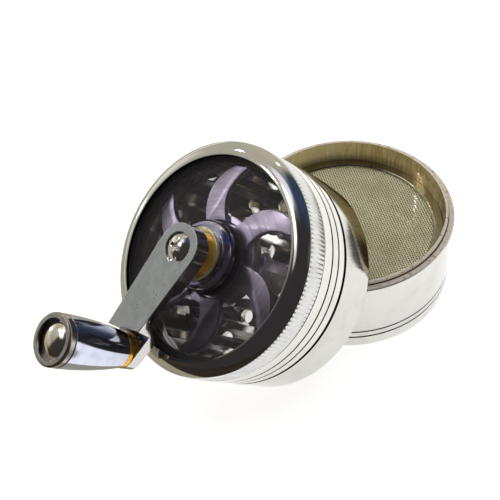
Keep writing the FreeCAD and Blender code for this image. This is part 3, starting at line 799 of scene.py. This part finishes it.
ring_tree = geometry_tree("ring_of_copies", [
    ("Copies", "NodeSocketInt"),
    ("Start", "NodeSocketFloat"),
    ("Finish", "NodeSocketMaterial"),
])
ring_in = {
    name: ring_tree.node("NodeGroupInput", out=name)
    for name in ("Geometry", "Copies", "Start", "Finish")}
ring_points = ring_tree.node("GeometryNodePoints", None, {"Count": ring_in["Copies"]})
ring_index = ring_tree.node("GeometryNodeInputIndex")
ring_angle = ring_in["Start"] + ring_index * (2 * math.pi) / ring_in["Copies"]
ring_turn = ring_tree.node("ShaderNodeCombineXYZ", None, {2: ring_angle})
ring_turn = ring_tree.node("FunctionNodeEulerToRotation", None, {0: ring_turn})
ring_copies = ring_tree.node(
    "GeometryNodeInstanceOnPoints", None,
    {"Points": ring_points, "Instance": ring_in["Geometry"], "Rotation": ring_turn})
ring_copies = ring_tree.node("GeometryNodeRealizeInstances", None, {"Geometry": ring_copies})
ring_copies = ring_tree.node(
    "GeometryNodeSetMaterial", None, {"Geometry": ring_copies, "Material": ring_in["Finish"]})
ring_tree.node("NodeGroupOutput", None, {0: ring_copies})


def stacked(name, loops):
    """A closed solid through loops of the same number of points, capped at both ends."""
    work = bmesh.new()
    rows = [[work.verts.new(p) for p in loop] for loop in loops]
    count = len(loops[0])
    for low, high in zip(rows, rows[1:]):
        for k in range(count):
            work.faces.new([low[k], low[(k + 1) % count], high[(k + 1) % count], high[k]])
    work.faces.new(rows[0][::-1])
    work.faces.new(rows[-1])
    bmesh.ops.recalc_face_normals(work, faces=work.faces)
    mesh = bpy.data.meshes.new(name)
    work.to_mesh(mesh)
    work.free()
    return mesh


def rib_loop(proud, height):
    """Plan of one rib: a rounded crest and a flat back."""
    half = math.pi * knurl_floor / knurl_ribs
    crest = [-1, -0.68, -0.34, 0, 0.34, 0.68, 1]
    front = [(27.40 + proud * math.cos(t * math.pi / 2) ** 1.5, t * half, height) for t in crest]
    return front + [(27.1, half, height), (27.1, -half, height)]


rib = stacked("knurl_rib", [
    rib_loop(0.02, knurl_low),
    rib_loop(rib_proud, knurl_low + 0.3),
    rib_loop(rib_proud, knurl_high - 0.3),
    rib_loop(0.02, knurl_high),
])
knurl_mesh = grown(ring_tree, rib, {
    "Copies": knurl_ribs,
    "Start": 0.0,
    "Finish": satin_steel("knurl_satin", leaning, (0.64, 0.65, 0.655, 1), (0.55, 0.555, 0.56, 1), 0.22),
})
knurl_mesh.transform(leaning)
knurl = shown("lid_knurl", shaded(knurl_mesh, None, 50))
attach(knurl, "lid")

# ---------------------------------------------------------------------------
# Window gasket: thin flat ring cut from black rubber. It is pinched between the bezel
# and the window, and shows as a line inside the bezel.
rubber = Finish("black_rubber", leaning)
rubber_tone = rubber.noise(rubber.point, 2.5)
rubber_finish = rubber.surface(
    rubber.blend((0.012, 0.012, 0.013, 1), (0.03, 0.03, 0.03, 1), rubber_tone),
    0.55 + rubber_tone * 0.25, rubber.bump(rubber_tone, 0.3, 0.02), 0.0)
window_top = 26.9
window_radius = 24.95
gasket_inner = 23.25
gasket = turned("gasket_ring", [
    (gasket_inner, window_top, 0.05),
    (window_radius, window_top, 0.02),
    (window_radius, window_seat, 0.02),
    (gasket_inner, window_seat, 0.08),
], leaning, rubber_finish)
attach(gasket, "lid")
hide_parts("window_gasket")

# ---------------------------------------------------------------------------
# Window: clear smoked disc with a hole for the bearing. It lies in the lid's bore
# against the gasket, and wiping has left faint marks on it.
smoked = Finish("smoked_window", leaning)
dust = smoked.noise(smoked.point, 0.5, 4.0, 0.7)
wipes = smoked.lathe_marks(0.6, 3.0)
window_finish = smoked.surface(
    (0.13, 0.115, 0.12, 1), 0.03 + dust * 0.03, None, 0.0, IOR=1.5, Specular_IOR_Level=0.3,
    Alpha=0.14 + dust.between(0.5, 0.8) * 0.04 + wipes * 0.02)
window_under = 24.9
window_hole = 4.3
window_disc = turned("window_disc", [
    (window_hole, window_under, 0.1),
    (window_radius, window_under, 0.1),
    (window_radius, window_top, 0.1),
    (window_hole, window_top, 0.1),
], leaning, window_finish)
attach(window_disc, "lid")
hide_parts("lid_window")

# ---------------------------------------------------------------------------
# Snap ring: black moulded plastic with a fine grain. It springs into the lid's bore
# under the window and holds it up against the gasket.
snap = Finish("snap_ring_plastic", leaning)
snap_tone = snap.noise(snap.point, 4.0, 3.0)
refinish("window_retaining_ring", snap.surface(
    snap.blend((0.015, 0.015, 0.016, 1), (0.03, 0.03, 0.032, 1), snap_tone),
    0.4 + snap_tone * 0.2, snap.bump(snap_tone, 0.3, 0.03), 0.0))


# ---------------------------------------------------------------------------
# Bearing flange: bright turned steel on top of the window, with a shallow ring groove.
# The stepped lock ring sits on it, and the brass bush's head on that.
def bright_steel(name, place, bright, dull, roughness, metallic=1.0):
    """Turned and polished steel with visible tool rings."""
    steel = Finish(name, place)
    marks = steel.lathe_marks(0.22, 3.0)
    wiped = steel.smudges(2.5)
    colour = steel.blend(bright, dull, wiped.between(0.4, 0.75))
    rough = roughness - 0.05 + marks * 0.08 + wiped * 0.04
    return steel.surface(colour, rough, steel.bump(marks, 0.3, 0.015), metallic)


sleeve_hole = 4.05
flange_foot = 8.4
flange_head = 7.2
flange_top = 29.75
ring_groove = 6.65
lock_radius = 6.2
lock_top = 30.5
flange_curve = through((flange_foot, 27.7), (8.1, 28.5), (flange_head, 29.3), 8)
flange = turned(
    "bearing_flange",
    [(sleeve_hole, window_top), (flange_foot, window_top, 0.1)] + flange_curve + [
        (flange_head, flange_top, 0.12),
        (ring_groove, flange_top, 0.05),
        (ring_groove, flange_top - 0.35, 0.05),
        (lock_radius, flange_top - 0.35, 0.05),
        (lock_radius, flange_top),
        (sleeve_hole, flange_top),
    ],
    leaning, bright_steel("flange_polish", leaning, (0.60, 0.57, 0.74, 1), (0.34, 0.32, 0.46, 1), 0.09))
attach(flange, "lid")
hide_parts("hub_flange")

lock_ring = turned("lock_ring", [
    (sleeve_hole, flange_top),
    (lock_radius, flange_top),
    (lock_radius, lock_top - 0.25, 0.05),
    (lock_radius - 0.25, lock_top, 0.08),
    (sleeve_hole, lock_top),
], leaning, bright_steel(
    "lock_ring_polish", leaning, (0.84, 0.80, 0.46, 1), (0.62, 0.59, 0.34, 1), 0.14, 0.8))
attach(lock_ring, "lid")
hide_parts("hub_lock_ring")


# ---------------------------------------------------------------------------
# Brass bush: turned from bar. The shaft turns in it, and its head stands on the lock
# ring. The thrust washer inside the lid is of the same brass.
def turned_brass(name, place):
    """Turned brass: warm, satin, a little browned where hands don't reach."""
    brass = Finish(name, place)
    marks = brass.lathe_marks(0.18, 3.0)
    tarnish = brass.smudges(1.5).between(0.4, 0.75)
    colour = brass.blend((1.0, 0.52, 0.05, 1), (0.80, 0.36, 0.03, 1), tarnish)
    rough = 0.16 + tarnish * 0.14 + marks * 0.08
    return brass.surface(colour, rough, brass.bump(marks, 0.4, 0.015), 0.85)


lid_brass = turned_brass("bush_brass", leaning)
bush_bore = 3.05
bush_sleeve = 4.0
bush_head = 5.0
bush_low = 22.3
bush_top = 32.5
bush = turned("bush_sleeve", [
    (bush_bore, bush_low, 0.1),
    (bush_sleeve, bush_low, 0.15),
    (bush_sleeve, lock_top),
    (bush_head, lock_top, 0.1),
    (bush_head, bush_top, 0.15),
    (bush_bore, bush_top, 0.15),
], leaning, lid_brass)
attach(bush, "lid")
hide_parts("hub_bush")
refinish("thrust_washer", lid_brass)

# ---------------------------------------------------------------------------
# Clamp washer and nut: turned steel, blackened and a little oily. From below they clamp
# the window against the flange.
black_steel = Finish("blackened_steel", leaning)
black_marks = black_steel.lathe_marks(0.3, 3.0)
black_finish = black_steel.surface(
    black_steel.blend((0.10, 0.095, 0.11, 1), (0.04, 0.038, 0.045, 1), black_steel.smudges(2)),
    0.25 + black_marks * 0.15, black_steel.bump(black_marks, 0.4, 0.02))
clamp_radius = 8.6
clamp_under = 24.1
clamp_disc = turned("clamp_disc", [
    (sleeve_hole, clamp_under, 0.1),
    (clamp_radius, clamp_under, 0.1),
    (clamp_radius, window_under, 0.15),
    (sleeve_hole, window_under, 0.1),
], leaning, black_finish)
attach(clamp_disc, "lid")
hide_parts("hub_clamp_washer")
refinish("hub_clamp_nut", black_finish)

# ---------------------------------------------------------------------------
# Shaft, rotor washer and rotor nut: plain machine steel, hidden in the closed lid. The
# shaft runs through the bush, and washer and nut hold the rotor on its lower end.
shaft_steel = satin_steel("shaft_steel", leaning, (0.66, 0.66, 0.67, 1), (0.50, 0.50, 0.52, 1))
refinish("crank_shaft", shaft_steel)
refinish("rotor_washer", shaft_steel)
refinish("rotor_nut", shaft_steel)


# ---------------------------------------------------------------------------
# Rotor: alloy casting with a dished hub, six swept arms with free ends, and teeth that
# hang under them. Its face is turned, so rings of light run across the arms.
def inset(points, distance):
    """Move a closed counter-clockwise loop inwards by a distance."""
    moved = []
    count = len(points)
    for k, here in enumerate(points):
        here = Vector(here)
        before = (here - Vector(points[k - 1])).normalized()
        after = (Vector(points[(k + 1) % count]) - here).normalized()
        normal = Vector((-before.y - after.y, before.x + after.x))
        if normal.length < 1e-6:
            normal = Vector((-before.y, before.x)) * 2
        normal.normalize()
        open_angle = max(normal.dot(Vector((-before.y, before.x))), 0.4)
        moved.append(tuple(here + normal * distance / open_angle))
    return moved


def slab(name, points, low, high, ease):
    """A plate of that plan with eased edges on both faces."""
    steps = [(1 - math.cos(t * math.pi / 6), 1 - math.sin(t * math.pi / 6)) for t in range(4)]
    levels = [(ease * a, low + ease * b) for a, b in steps[::-1]]
    levels += [(ease * a, high - ease * b) for a, b in steps]
    loops = []
    for depth, height in levels:
        loops.append([(x, y, height) for x, y in inset(points, depth)])
    return stacked(name, loops)


def polar(radius, degrees):
    """Plan point at a radius and an angle."""
    turn = math.radians(degrees)
    return (radius * math.cos(turn), radius * math.sin(turn))


def joined(name, meshes):
    """Several meshes as one."""
    work = bmesh.new()
    for mesh in meshes:
        work.from_mesh(mesh)
    mesh = bpy.data.meshes.new(name)
    work.to_mesh(mesh)
    work.free()
    return mesh


def diamond(radius, degrees, low, high, ease):
    """One diamond tooth with its points along the ring that it stands on."""
    x, y = polar(radius, degrees)
    out_x, out_y = polar(1.05, degrees)
    on_x, on_y = polar(1.9, degrees + 90)
    plan = [
        (x + out_x, y + out_y), (x + on_x, y + on_y), (x - out_x, y - out_y), (x - on_x, y - on_y)]
    return slab("tooth", plan, low, high, ease)


def satin_alloy(name, place, bright, dull, roughness, shade_strength=0.0):
    """Cast alloy, faced on the lathe: fine rings from the tool under a thin polish.
    The low side, left of the crank, is painted darker as shade."""
    alloy = Finish(name, place)
    coarse = alloy.lathe_marks(0.8, 2.0)
    fine = alloy.lathe_marks(0.16, 3.0)
    wiped = alloy.smudges(3)
    tone = coarse * 0.7 + wiped * 0.3
    colour = alloy.blend(bright, dull, tone.between(0.38, 0.62))
    # Painted shade on the low side, left of the crank.
    low_side_shade = (alloy.x * 0.72 + alloy.y * 0.69).between(-2.0, 15.0)
    colour = alloy.blend(colour, (0.13, 0.10, 0.15, 1), low_side_shade * shade_strength)
    rough = roughness - 0.1 + coarse * 0.14 + fine * 0.06
    return alloy.surface(colour, rough, alloy.bump(coarse * 0.6 + fine * 0.4, 0.35, 0.03))


rotor_top = 24.5
rotor_under = 22.9
rotor_arm_angle = 38.0
rotor_radius = 22.2
dish_inner = 9.1
dish_outer = 10.7
dish_rim = 23.2
dish_floor = 21.6
dish_under = 20.0
moving_tooth_low = 8.45
lead_angles = (18.5, 14.0, 5.5, -11.0)
trail_angles = (-18.0, -9.4, -12.7, -20.5)


def swept(angles):
    """A side of an arm: its angle runs smoothly through four values from dish to tip."""
    points = []
    for k in range(17):
        t = 3 * k / 16
        degrees = 0
        for i, angle in enumerate(angles):
            for j in range(4):
                if j != i:
                    angle *= (t - j) / (i - j)
            degrees += angle
        points.append(polar(dish_inner + (rotor_radius - dish_inner) * t / 3, degrees))
    return points


def round_end(radius, first, last):
    """Points of an arm's end between two angles."""
    return [polar(radius, first + (last - first) * k / 8) for k in range(1, 8)]


arm_plan = swept(trail_angles) + round_end(rotor_radius, trail_angles[3], lead_angles[3])
arm_plan += swept(lead_angles)[::-1] + round_end(dish_inner, lead_angles[0], trail_angles[0])
# The last value is the strength of the painted shade on the rotor's low side.
rotor_alloy = satin_alloy("rotor_alloy", leaning, (0.78, 0.70, 0.91, 1), (0.56, 0.49, 0.65, 1), 0.30, 0.80)
rotor_arms = grown(
    ring_tree,
    joined("rotor_arm", [
        slab("arm", arm_plan, rotor_under, rotor_top, 0.16),
        diamond(17.85, -3.3, moving_tooth_low, rotor_under + 0.05, 0.2),
        diamond(11.0, 30.0, moving_tooth_low, dish_under + 0.05, 0.2),
    ]),
    {"Copies": 6, "Start": math.radians(rotor_arm_angle), "Finish": rotor_alloy})
rotor_arms.transform(leaning)
rotor_dish = turned("rotor_dish", [
    (0, dish_under),
    (dish_outer, dish_under, 0.3),
    (dish_outer, dish_rim, 0.15),
    (dish_inner, dish_rim, 0.15),
    (dish_inner, dish_floor, 0.3),
    (0, dish_floor),
], leaning, rotor_alloy, closed=False)
rotor_mesh = joined("rotor_casting", [rotor_arms, rotor_dish.data])
bpy.data.objects.remove(rotor_dish)
rotor = shown("rotor_casting", shaded(rotor_mesh, rotor_alloy, 25))
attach(rotor, "crank")
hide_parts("rotor")

# ---------------------------------------------------------------------------
# Tooth plate: pierced disc pressed into the chamber, with two rings of fixed diamond
# teeth whose tops are ground to a low ridge. The plan with its holes is a flat curve.
plate_high = 7.25
plate_radius = 23.95
drop_holes = ((6, 11.0), (12, 17.85))
drop_hole_radius = 1.7
fixed_teeth = ((8, 14.3), (14, 21.4))
tooth_top = 21.7
ridge_fall = 0.30


def pierced(name, outer, holes, low, high, ease):
    """A flat round plate with round holes, all edges eased; holes are (x, y, radius)."""
    curve = bpy.data.curves.new(name, "CURVE")
    curve.dimensions = "2D"
    curve.fill_mode = "BOTH"
    curve.extrude = (high - low) / 2 - ease
    curve.bevel_depth = ease
    curve.bevel_resolution = 2
    curve.offset = -ease
    for x, y, radius in [(0, 0, outer)] + holes:
        count = 160 if radius == outer else 40
        way = 1 if radius == outer else -1
        spline = curve.splines.new("POLY")
        spline.points.add(count - 1)
        for k in range(count):
            turn = way * 2 * math.pi * k / count
            spline.points[k].co = (x + radius * math.cos(turn), y + radius * math.sin(turn), 0, 1)
        spline.use_cyclic_u = True
    bench = bpy.data.objects.new(name, curve)
    bpy.context.scene.collection.objects.link(bench)
    ready = bench.evaluated_get(bpy.context.evaluated_depsgraph_get())
    mesh = bpy.data.meshes.new_from_object(ready)
    bpy.data.objects.remove(bench)
    mesh.transform(Matrix.Translation((0, 0, (low + high) / 2)))
    return mesh


def ridged_tooth(radius):
    """Diamond tooth whose top falls to both sides of a ridge along its length."""
    tooth = diamond(radius, 0, plate_high - 0.05, tooth_top, 0.12)
    for point in tooth.vertices:
        if point.co.z > tooth_top - 0.2:
            point.co.z -= ridge_fall * abs(point.co.x - radius)
    return tooth


plate_alloy = satin_alloy("plate_alloy", leaning, (0.82, 0.80, 0.76, 1), (0.50, 0.47, 0.44, 1), 0.15)
hole_places = []
for count, radius in drop_holes:
    for k in range(count):
        hole_places.append(polar(radius, 360 * (k + 0.5) / count) + (drop_hole_radius,))
plate_parts = [pierced("plate_plan", plate_radius, hole_places, plate_low, plate_high, 0.12)]
for count, radius in fixed_teeth:
    plate_parts.append(grown(
        ring_tree, ridged_tooth(radius), {"Copies": count, "Start": 0.0, "Finish": plate_alloy}))
plate_mesh = joined("tooth_plate_casting", plate_parts)
# A few tops are dressed flat by hand, each with its own fall per millimetre along X and Y.
dressed_tops = (
    (21.4, 180, -0.196, 0.128), (14.3, 180, -0.220, 0.126), (21.4, -128.6, -0.223, 0.163),
    (21.4, 51.4, -0.314, 0.073), (14.3, 135, -0.234, 0.100), (21.4, 77.1, -0.286, 0.067))
for point in plate_mesh.vertices:
    for radius, degrees, fall_x, fall_y in dressed_tops:
        x, y = polar(radius, degrees)
        x, y = point.co.x - x, point.co.y - y
        if point.co.z > tooth_top - 0.6 and math.hypot(x, y) < 2.2:
            ridge = ridge_fall * abs(math.hypot(point.co.x, point.co.y) - radius)
            point.co.z += ridge - 0.4 - fall_x * x - fall_y * y
plate_mesh.transform(leaning)
tooth_plate = shown("tooth_plate_casting", shaded(plate_mesh, plate_alloy, 25))
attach(tooth_plate, "chamber")
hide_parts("tooth_plate")

# A small lamp lights only the castings behind the window.
behind_window = bpy.data.collections.new("behind_window")
behind_window.objects.link(rotor)
behind_window.objects.link(tooth_plate)
window_light = softbox("window_light", 178, 29, 0.7, (0.12, 0.10), 0.18, (1.0, 0.97, 1.0))
window_light.light_linking.receiver_collection = behind_window

# ---------------------------------------------------------------------------
# Crank arm: steel forging with a thick round boss, a thin flat, and a skewed step down
# to the knob's boss. Its flat is brushed along its length; its edges are worn bright.
boss_radius = 5.5
end_radius = 4.2
arm_back = 32.7
arm_front = 36.7
arm_under = 34.7
end_back = 29.2
end_front = 32.4
counterbore_floor = 35.8
counterbore_radius = 3.5
step_skew = math.radians(26.5)


def carved(base, cuts, ease, segments=3):
    """Cut or trim a mesh with others and ease its edges; returns the plain mesh."""
    bench = shown("bench", base)
    tools = []
    for mode, cutter in cuts:
        tool = shown("tool", cutter)
        tools.append(tool)
        cut = bench.modifiers.new("cut", "BOOLEAN")
        cut.operation = mode
        cut.solver = "EXACT"
        cut.object = tool
    edge = bench.modifiers.new("ease", "BEVEL")
    edge.width = ease
    edge.segments = segments
    edge.limit_method = "ANGLE"
    edge.angle_limit = math.radians(24)
    edge.harden_normals = False
    ready = bench.evaluated_get(bpy.context.evaluated_depsgraph_get())
    mesh = bpy.data.meshes.new_from_object(ready)
    bench.modifiers.clear()
    for made in [bench] + tools:
        bpy.data.objects.remove(made)
    return mesh


def round_bar(radius, low, high):
    """A plain round bar, as a cutting tool."""
    circle = [polar(radius, 360 * k / 64) for k in range(64)]
    return stacked("bar", [[(x, y, z) for x, y in circle] for z in (low, high)])


arm_lean = math.asin((boss_radius - end_radius) / arm_length)
arm_outline = []
# Half a circle round the hub's boss, then half a circle round the knob's.
for k in range(29):
    turn = math.pi / 2 - arm_lean + (math.pi + 2 * arm_lean) * k / 28
    arm_outline.append((boss_radius * math.cos(turn), boss_radius * math.sin(turn)))
for k in range(25):
    turn = -math.pi / 2 + arm_lean + (math.pi - 2 * arm_lean) * k / 24
    arm_outline.append((arm_length + end_radius * math.cos(turn), end_radius * math.sin(turn)))
arm_blank = stacked("arm_blank", [
    [(x, y, end_back - 1) for x, y in arm_outline],
    [(x, y, arm_front + 1) for x, y in arm_outline],
])
web_start = arm_length - 10.0
side_profile = [
    (-7, arm_back), (8.0, arm_back), (10.0, arm_under), (web_start, arm_under),
    (web_start + 3.5, end_back), (arm_length + 6, end_back), (arm_length + 6, arm_front), (-7, arm_front),
]
side_cut = stacked("side_cut", [
    [(x, -12, z) for x, z in side_profile],
    [(x, 12, z) for x, z in side_profile],
])
step_profile = [(0.8, end_front), (0, arm_front), (0, arm_front + 2), (20, arm_front + 2), (20, end_front)]
step_cut = stacked("step_cut", [
    [(x, -16, z) for x, z in step_profile],
    [(x, 16, z) for x, z in step_profile],
])
step_cut.transform(Matrix.Translation((arm_length - 5.9, 0, 0)) @ Matrix.Rotation(step_skew, 4, "Z"))
arm_mesh = carved(arm_blank, [
    ("INTERSECT", side_cut),
    ("DIFFERENCE", step_cut),
    ("DIFFERENCE", round_bar(counterbore_radius, counterbore_floor, 38)),
], 0.11)
arm_mesh.transform(leaning)

arm_steel = Finish("arm_steel", leaning)
brush_point = arm_steel.node(
    "ShaderNodeMapping", None, {"Vector": arm_steel.point, "Scale": (0.10, 3.2, 2.0)})
brush = arm_steel.noise(brush_point, 1.0, 5.0, 0.7)
arm_mottle = arm_steel.smudges(3.0)
specks = arm_steel.node(
    "ShaderNodeTexVoronoi", None, {"Vector": arm_steel.point, "Scale": 0.9, "Randomness": 1.0}, "Distance")
speck = 1 - specks.between(0.06, 0.14)
arm_colour = arm_steel.blend((0.56, 0.575, 0.585, 1), (0.48, 0.495, 0.495, 1), arm_mottle.between(0.35, 0.7))
arm_colour = arm_steel.blend(arm_colour, (0.10, 0.09, 0.08, 1), speck * 0.8)
arm_relief = arm_steel.bump(brush, 0.35, 0.02)
arm_relief = arm_steel.bump(specks.between(0.03, 0.2), 0.5, 0.05, arm_relief)
arm_face = arm_steel.z.between(36.5, 36.6)
arm_colour = arm_steel.blend((0.62, 0.60, 0.60, 1), arm_colour, arm_face)
arm_rough = 0.07 + brush * 0.06 + arm_face * (0.13 + brush * 0.06 + speck * 0.2)
arm_finish = arm_steel.surface(arm_colour, arm_rough, arm_relief)
arm = shown("arm_forging", shaded(arm_mesh, arm_finish, 12))
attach(arm, "crank")
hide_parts("crank_arm")

# ---------------------------------------------------------------------------
# Cross-head screw in the arm's counterbore: domed head, nickel bright, its recess
# tapered as a driver bit is.
head_radius = 3.1
head_foot = counterbore_floor
head_side = 0.7
head_top = 37.7
dome = through(
    (head_radius, head_foot + head_side), (head_radius * 0.52, head_top - 0.32), (0.0, head_top), 10)
head_blank = turned(
    "head_blank",
    [(0, head_foot), (head_radius, head_foot, 0.1)] + dome, standing, None, around=96, closed=False)
head_mesh = head_blank.data
bpy.data.objects.remove(head_blank)
head_mesh.transform(Matrix.Scale(1 / MM, 4))


def cross_point(reach, half, height):
    """Plan of a cross at a height."""
    plan = [
        (reach, half), (half, half), (half, reach), (-half, reach), (-half, half), (-reach, half),
        (-reach, -half), (-half, -half), (-half, -reach), (half, -reach), (half, -half), (reach, -half)]
    return [(x, y, height) for x, y in plan]


cross = stacked("cross", [
    cross_point(1.15, 0.22, head_top - 1.15),
    cross_point(1.80, 0.42, head_top - 0.05),
    cross_point(1.85, 0.44, head_top + 1.0),
])
screw_mesh = carved(head_mesh, [("DIFFERENCE", cross)], 0.07, 2)
screw_mesh.transform(leaning)
screw_finish = bright_steel("screw_nickel", leaning, (0.84, 0.82, 0.80, 1), (0.60, 0.57, 0.55, 1), 0.12)
screw = shown("cross_screw", shaded(screw_mesh, screw_finish, 30))
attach(screw, "crank")
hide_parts("crank_screw")

# ---------------------------------------------------------------------------
# Knob: a brass collar on the arm, a turned and polished grip that fattens towards its
# free end, a ferrule over that end, and the pin whose domed head holds them.
stem_radius = 1.6
stem_bore = 1.65
collar_radius = 4.1
collar_top = 33.9
collar = turned("brass_collar", [
    (stem_bore, end_front, 0.05),
    (collar_radius, end_front, 0.12),
    (collar_radius, collar_top, 0.2),
    (stem_bore, collar_top, 0.05),
], at_knob, turned_brass("collar_brass", at_knob))
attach(collar, "crank")
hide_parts("knob_collar")

grip_low = 34.05
grip_slim = 4.35
grip_full = 5.85
grip_edge = 51.25
ferrule_low = 51.55
grip_curve = through((grip_slim, grip_low), (5.6, 43.6), (grip_full, grip_edge), 24)
grip = turned(
    "knob_grip",
    [(stem_bore, grip_low, 0.05), (grip_slim, grip_low, 0.2)] + grip_curve[1:-1] + [
        (grip_full, grip_edge, 0.08),
        (grip_full - 0.5, grip_edge, 0.05),
        (grip_full - 0.5, ferrule_low, 0.05),
        (stem_bore, ferrule_low, 0.05),
    ],
    at_knob, bright_steel("grip_polish", at_knob, (0.62, 0.65, 0.78, 1), (0.54, 0.57, 0.68, 1), 0.08),
    around=128)
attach(grip, "knob")
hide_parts("knob_barrel")

ferrule_top = 53.15
ferrule_hole = 4.5
ferrule = turned("knob_ferrule", [
    (ferrule_hole, ferrule_low, 0.05),
    (grip_full, ferrule_low, 0.05),
    (grip_full, ferrule_top, 0.8),
    (ferrule_hole, ferrule_top, 0.12),
], at_knob, satin_steel(
    "ferrule_satin", at_knob, (0.52, 0.49, 0.45, 1), (0.34, 0.31, 0.28, 1), 0.2), around=128)
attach(ferrule, "knob")
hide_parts("knob_end_cap")

pin_head_radius = 3.85
pin_head_foot = 51.7
pin_head = through((pin_head_radius, pin_head_foot + 0.5), (2.0, 53.02), (0.0, 53.3), 12)
pin = turned(
    "knob_stem",
    [
        (0, end_back),
        (stem_radius, end_back, 0.1),
        (stem_radius, pin_head_foot),
        (pin_head_radius, pin_head_foot, 0.06),
    ] + pin_head,
    at_knob, bright_steel("stem_polish", at_knob, (0.85, 0.80, 0.70, 1), (0.66, 0.60, 0.50, 1), 0.12),
    around=96, closed=False)
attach(pin, "crank")
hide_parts("knob_pin")
